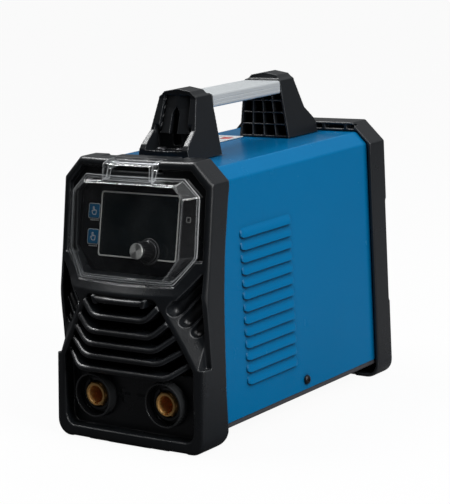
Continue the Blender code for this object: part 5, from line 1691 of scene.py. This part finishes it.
# --------------------------------------------------------------------------
# back panel fittings
# --------------------------------------------------------------------------
def build_fan_frame():
    h = FAN_SIZE / 2
    bm = prism(rrect(FAN_SIZE, FAN_SIZE, 4.0, FAN_X, FAN_Z, 6), "Y", 212.4, 237.4)
    bm = cut(bm, cyl("Y", FAN_X, 0, FAN_Z, h - 2.4, 200, 250, 96))
    bm = join(bm, cyl("Y", FAN_X, 0, FAN_Z, 17.0, 212.8, 216.0, 64))
    for k in range(4):
        arm = box(-2.0, 2.0, 213.0, 215.8, 0.0, 47.0)
        bmesh.ops.rotate(arm, cent=(0, 0, 0), matrix=Matrix.Rotation(math.radians(45 + 90 * k), 3, "Y"),
                         verts=arm.verts)
        bmesh.ops.translate(arm, vec=(FAN_X, 0, FAN_Z), verts=arm.verts)
        bm = join(bm, arm)
    for sx in (-1, 1):
        for sz in (-1, 1):
            bm = cut(bm, cyl("Y", FAN_X + sx * 41.3, 0, FAN_Z + sz * 41.3, 2.2, 200, 250, 20))
    return cut(bm, cyl("Y", FAN_X, 0, FAN_Z, 2.6, 200, 220, 24))


def build_rotor():
    prof = [(0.0, 236.2), (12.0, 236.2), (15.8, 236.0), (16.8, 235.2), (17.0, 234.0), (17.0, 217.6),
            (16.6, 217.2), (2.2, 217.2), (2.2, 213.4), (1.9, 213.2), (0.0, 213.2)]
    bm = lathe(prof, FAN_X, FAN_Z, 72)
    blades = []
    for k in range(7):
        a0 = 2 * math.pi * k / 7
        rings = []
        for i in range(9):
            r = 15.5 + 26.0 * i / 8
            tw = 0.62 - 0.30 * i / 8
            ring = []
            for side in (1, -1):
                for j in range(7):
                    t = j / 6 if side > 0 else 1 - j / 6
                    y = 219.0 + 15.8 * t
                    a = a0 + (t - 0.5) * tw * (1.5 - 0.5 * min(1.0, i / 2)) + 0.10 * math.sin(math.pi * t)
                    th = side * (0.25 + 0.75 * math.sin(math.pi * (0.08 + 0.84 * t))) / r
                    ring.append(Vector((FAN_X + r * math.cos(a + th), y, FAN_Z + r * math.sin(a + th))))
            rings.append(ring)
        blades.append(loft(*rings))
    for b in blades:
        bm = join(bm, b)
    return bm


done("fan_housing", build_fan_frame(), M["fan"], ["fan_frame"], bevel=0.35)
done("fan_impeller", build_rotor(), M["fan"], ["fan_rotor"], body="fan_rotor", angle=40)


def build_switch_body():
    x, z = SWITCH_X, SWITCH_Z
    bm = prism(rrect(31.0, 25.0, 1.6, x, z, 4), "Y", 241.3, 243.4)
    bm = join(bm, box(x - 13.5, x + 13.5, 222.0, 242.0, z - 10.5, z + 10.5))
    return cut(bm, prism(rrect(23.0, 18.4, 0.8, x, z, 3), "Y", 232.0, 250.0))


def build_rocker():
    x, z, py = SWITCH_X, SWITCH_Z, 240.5
    a = math.radians(9.0)
    pts = [(-4.5, -4.0), (-4.5, 4.0), (1.5, 8.0), (3.5, 8.0), (1.9, 3.6), (1.4, 0.0), (1.9, -3.6),
           (3.5, -8.0), (1.5, -8.0)]
    pts = fillet(pts, [0.5, 0.5, 0.6, 0.6, 2.0, 3.0, 2.0, 0.6, 0.6], 4)
    rot = [(py + y * math.cos(a) + zz * math.sin(a), z - y * math.sin(a) + zz * math.cos(a))
           for y, zz in pts]
    return prism(rot, "X", x - 11.0, x + 11.0)


done("switch_body", build_switch_body(), M["fan"], ["power_switch_housing"], bevel=0.4)
done("switch_rocker", build_rocker(), M["knob"], ["power_switch_rocker"],
     body="power_rocker", bevel=0.35)


def build_gland():
    """Hexagon, fluted dome nut and threaded shank of a strain relief."""
    bore = lambda: cyl("Y", GLAND_X, 0, GLAND_Z, 5.3, 220.0, 270.0, 48)
    hexa = [(GLAND_X + 11.0 * math.cos(math.radians(60 * k)),
             GLAND_Z + 11.0 * math.sin(math.radians(60 * k))) for k in range(6)]
    nut = edged(prism(hexa, "Y", 241.3, 247.8), 0.5, 2)
    cap = []
    n = 96
    for y, r, f in ((247.8, 9.7, 0.0), (248.4, 10.0, 0.0), (248.9, 10.0, 0.45), (255.0, 9.1, 0.45),
                    (257.0, 8.6, 0.3), (258.4, 7.9, 0.0), (259.0, 7.0, 0.0)):
        ring = []
        for k in range(n):
            a = 2 * math.pi * k / n
            q = r - f * (0.5 + 0.5 * math.cos(24 * a))
            ring.append(Vector((GLAND_X + q * math.cos(a), y, GLAND_Z + q * math.sin(a))))
        cap.append(ring)
    shank = lathe([(5.3, 229.0), (7.4, 229.0), (8.0, 229.6), (8.0, 241.3), (5.3, 241.3)],
                  GLAND_X, GLAND_Z, 64)
    return merge(cut(nut, bore()), cut(loft(*cap), bore()), shank)


done("gland_body", build_gland(), M["fan"], ["cable_gland"], angle=30)


def build_cable():
    pts = [(GLAND_X, 259.0, GLAND_Z), (GLAND_X, 240.0, GLAND_Z), (GLAND_X, 226.0, GLAND_Z)]
    pts = pts + smooth_path([(GLAND_X, 224.0, GLAND_Z), (GLAND_X, 205.0, 163.0),
                             (GLAND_X, 192.0, 148.0), (GLAND_X, 190.0, 120.0),
                             (GLAND_X, 190.0, 90.0)], 8)
    bm = tube_along(pts, 4.9, 6)
    # stepped end: jacket, then the cut face with three cores
    end = lathe([(0.0, 258.5), (4.9, 258.5), (4.9, 273.2), (4.6, 273.6), (0.0, 273.6)],
                GLAND_X, GLAND_Z, 48)
    return merge(bm, end)


done("cable_jacket", build_cable(), M["rubber"], ["mains_cable"], angle=40)
cores = []
for k in range(3):
    a = math.radians(90 + 120 * k)
    cx, cz = GLAND_X + 2.1 * math.cos(a), GLAND_Z + 2.1 * math.sin(a)
    cores.append(lathe([(0.0, 273.5), (1.55, 273.5), (1.55, 274.4), (1.35, 274.6), (0.95, 274.6),
                        (0.95, 275.0), (0.0, 275.0)], cx, cz, 28))
done("cable_cores", merge(*cores), M["copper"], angle=30)


# --------------------------------------------------------------------------
# rating label: a blank form of bars and boxes
# --------------------------------------------------------------------------
LX0, LX1, LY0, LY1 = -55.0, -19.0, 90.0, 173.5
LZ = COVER_TOP_Z + 0.3
label = prism(fillet([(LX0, LY0), (LX1, LY0), (LX1, LY1), (LX0, LY1)], 2.0, 6), "Z", LZ, LZ + 0.14)
done("label_sheet", label, M["paper"], ["top_label"], bevel=0.04)
ink, red = [], []
for r in range(9):
    y = LY0 + 26.0 + 6.1 * r
    ink.append(box(LX0 + 3, LX1 - 3, y, y + 0.45, LZ + 0.14, LZ + 0.19))
    for c in range(3):
        x = LX0 + 4.4 + 9.6 * c
        w = (6.5, 4.2, 5.4)[(r + c) % 3]
        ink.append(box(x, x + w, y + 2.2, y + 3.9, LZ + 0.14, LZ + 0.19))
for x in (LX0 + 3, LX0 + 12.6, LX0 + 22.2, LX1 - 3.45):
    ink.append(box(x, x + 0.45, LY0 + 26, LY1 - 8.2, LZ + 0.14, LZ + 0.19))
done("label_grid", merge(*ink), M["grey_ink"])
red.append(box(LX0 + 3, LX1 - 3, LY0 + 15.0, LY0 + 23.5, LZ + 0.14, LZ + 0.19))
for k in range(3):
    red.append(prism(fillet([(LX0 + 4 + 10 * k, LY0 + 6), (LX0 + 11 + 10 * k, LY0 + 6),
                             (LX0 + 11 + 10 * k, LY0 + 12.6), (LX0 + 4 + 10 * k, LY0 + 12.6)],
                            1.0, 4), "Z", LZ + 0.14, LZ + 0.19))
red.append(box(LX1 - 13, LX1 - 4, LY1 - 17, LY1 - 9, LZ + 0.14, LZ + 0.22))
done("label_marks", merge(*red), M["red_ink"])


# --------------------------------------------------------------------------
# inner parts keep their CAD shapes, with finished materials and eased edges
# --------------------------------------------------------------------------
def dress(node, mat, width=0.3, segments=2):
    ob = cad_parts[node]
    ob.data.materials.clear()
    ob.data.materials.append(mat)
    if width:
        w = ob.modifiers.new("weld", "WELD")
        w.merge_threshold = 0.00001
        m = ob.modifiers.new("bevel", "BEVEL")
        m.width = width * MM
        m.segments = segments
        m.limit_method = "ANGLE"
        m.angle_limit = math.radians(40.0)
        m.use_clamp_overlap = True


for node, mat, w in (
        ("main_board", "board", 0.2), ("control_board", "board", 0.2),
        ("transformer_core", "ferrite", 0.5), ("transformer_winding", "winding", 0.3),
        ("output_choke", "winding", 0.0), ("capacitor_1", "sleeve", 0.6),
        ("capacitor_2", "sleeve", 0.6), ("capacitor_3", "sleeve", 0.6),
        ("heatsink_left", "anodised", 0.3), ("heatsink_right", "anodised", 0.3),
        ("busbar_left", "copper", 0.3), ("busbar_right", "copper", 0.3),
        ("terminal_bolt_left", "steel", 0.3), ("terminal_bolt_right", "steel", 0.3),
        ("socket_locknut_left", "socket", 0.4), ("socket_locknut_right", "socket", 0.4),
        ("gland_locknut", "fan", 0.3), ("handle_stiffener", "steel", 0.3),
        ("lcd_module", "grey", 0.4), ("encoder_body", "steel", 0.2),
        ("encoder_shaft", "steel", 0.2), ("key_switch_upper", "grey", 0.4),
        ("key_switch_lower", "grey", 0.4)):
    dress(node, M[mat], w)


# --------------------------------------------------------------------------
# floor, light and camera
# --------------------------------------------------------------------------
def stage_floor():
    me = bpy.data.meshes.new("floor")
    bm = bmesh.new()
    bmesh.ops.create_grid(bm, x_segments=24, y_segments=24, size=9.0)
    bmesh.ops.translate(bm, vec=(0, 0, -0.0002), verts=bm.verts)
    bm.to_mesh(me)
    bm.free()
    m = Mat("floor_pale")
    m.set(Base_Color=m.mix(m.noise(3.0, 2.0), (0.86, 0.86, 0.865), (0.89, 0.89, 0.895)),
          Roughness=0.8)
    m.b.inputs["Specular IOR Level"].default_value = 0.1
    ray = m.node("ShaderNodeLightPath")
    glow = m.node("ShaderNodeEmission")
    glow.inputs[0].default_value = (1, 1, 1, 1)
    mx = m.node("ShaderNodeMixShader")
    m.link(m.math("MULTIPLY", ray.outputs["Is Camera Ray"], 0.94), mx.inputs[0])
    dim = m.node("ShaderNodeBsdfDiffuse")
    # the floor in front bounces less light than the floor behind and beside
    fgeo = m.node("ShaderNodeNewGeometry")
    fdot = m.node("ShaderNodeVectorMath", operation="DOT_PRODUCT")
    m.link(fgeo.outputs["Position"], fdot.inputs[0])
    fdot.inputs[1].default_value = (0.60, 0.80, 0.0)
    m.link(m.mix(m.span(fdot.outputs["Value"], 0.0, 1.0, -0.06, 0.14),
                 (0.070, 0.070, 0.073), (0.27, 0.27, 0.275)), dim.inputs[0])
    m3 = m.node("ShaderNodeMixShader")
    m.link(ray.outputs["Is Camera Ray"], m3.inputs[0])
    m.link(dim.outputs[0], m3.inputs[1])
    m.link(m.b.outputs[0], m3.inputs[2])
    m.link(m3.outputs[0], mx.inputs[1])
    m.link(glow.outputs[0], mx.inputs[2])
    m.link(mx.outputs[0], m.out.inputs[0])
    me.materials.append(m.m)
    ob = bpy.data.objects.new("floor", me)
    bpy.context.scene.collection.objects.link(ob)


def area(name, loc, aim, size, power, color=(1, 1, 1), size_y=None):
    li = bpy.data.lights.new(name, "AREA")
    li.energy = power
    li.color = color
    li.shape = "RECTANGLE"
    li.size = size
    li.size_y = size_y or size
    ob = bpy.data.objects.new(name, li)
    bpy.context.scene.collection.objects.link(ob)
    ob.location = loc
    ob.rotation_euler = (Vector(aim) - Vector(loc)).to_track_quat("-Z", "Y").to_euler()
    return ob


stage_floor()
world = bpy.data.worlds.new("studio")
bpy.context.scene.world = world
world.use_nodes = True
wn = world.node_tree
wn.nodes.clear()
wo = wn.nodes.new("ShaderNodeOutputWorld")
mixw = wn.nodes.new("ShaderNodeMixShader")
seen = wn.nodes.new("ShaderNodeBackground")
seen.inputs[0].default_value = (1, 1, 1, 1)
seen.inputs[1].default_value = 1.0
amb = wn.nodes.new("ShaderNodeBackground")
wtc = wn.nodes.new("ShaderNodeTexCoord")
wsep = wn.nodes.new("ShaderNodeSeparateXYZ")
wn.links.new(wtc.outputs["Generated"], wsep.inputs[0])
wmr = wn.nodes.new("ShaderNodeMapRange")
wmr.inputs["From Min"].default_value = -0.1
wmr.inputs["From Max"].default_value = 0.9
wmr.inputs["To Min"].default_value = 0.06
wmr.inputs["To Max"].default_value = 0.50
wn.links.new(wsep.outputs["Z"], wmr.inputs["Value"])
wfr = wn.nodes.new("ShaderNodeMapRange")
wfr.inputs["From Min"].default_value = -0.75
wfr.inputs["From Max"].default_value = 0.15
wfr.inputs["To Min"].default_value = 0.06
wfr.inputs["To Max"].default_value = 1.0
wn.links.new(wsep.outputs["Y"], wfr.inputs["Value"])
wmu = wn.nodes.new("ShaderNodeMath")
wmu.operation = "MULTIPLY"
wn.links.new(wmr.outputs[0], wmu.inputs[0])
wn.links.new(wfr.outputs[0], wmu.inputs[1])
wn.links.new(wmu.outputs[0], amb.inputs[1])
amb.inputs[0].default_value = (0.97, 0.985, 1.0, 1)
lp = wn.nodes.new("ShaderNodeLightPath")
wn.links.new(lp.outputs["Is Camera Ray"], mixw.inputs[0])
wn.links.new(amb.outputs[0], mixw.inputs[1])
wn.links.new(seen.outputs[0], mixw.inputs[2])
wn.links.new(mixw.outputs[0], wo.inputs[0])

area("over_left", (-0.66, -0.16, 1.40), (0, 0, 0.12), 0.62, 9.0)
area("overhead", (0.12, 0.12, 1.65), (0, 0, 0.12), 0.42, 2.6)
area("side_right", (1.45, -0.25, 1.15), (0.05, 0, 0.12), 0.8, 19.0)
area("edge_right", (1.42, -0.50, 0.40), (0, 0, 0.12), 0.26, 2.7)
glint = area("glint", (-0.86, 0.02, 1.24), (0, 0, 0.12), 0.30, 6.0)
glint.visible_diffuse = False
corner = area("corner", (0.46, -0.56, 1.34), (0, -0.14, 0.18), 0.46, 3.4)
corner.visible_diffuse = False

cam = bpy.data.cameras.new("photo_view")
cam.sensor_fit = "AUTO"
cam.sensor_width = 36.0
cam.lens = 131.12
cam.clip_start = 0.05
cam.clip_end = 60.0
camo = bpy.data.objects.new("photo_view", cam)
bpy.context.scene.collection.objects.link(camo)
yaw, pitch, roll = math.radians(36.76), math.radians(11.10), math.radians(-3.11)
back = Vector((math.sin(yaw) * math.cos(pitch), -math.cos(yaw) * math.cos(pitch), math.sin(pitch)))
right = Vector((math.cos(yaw), math.sin(yaw), 0.0))
up = back.cross(right)
r2 = math.cos(roll) * right + math.sin(roll) * up
u2 = -math.sin(roll) * right + math.cos(roll) * up
mw = Matrix.Identity(4)
for i, v in enumerate((r2, u2, back)):
    for j in range(3):
        mw[j][i] = v[j]
mw[0][3], mw[1][3], mw[2][3] = 0.8549, -1.1572, 0.4030
camo.matrix_world = mw
bpy.context.scene.camera = camo
bpy.context.scene.view_settings.view_transform = "Standard"
bpy.context.scene.view_settings.look = "None"

bpy.data.collections.remove(CUTTERS)
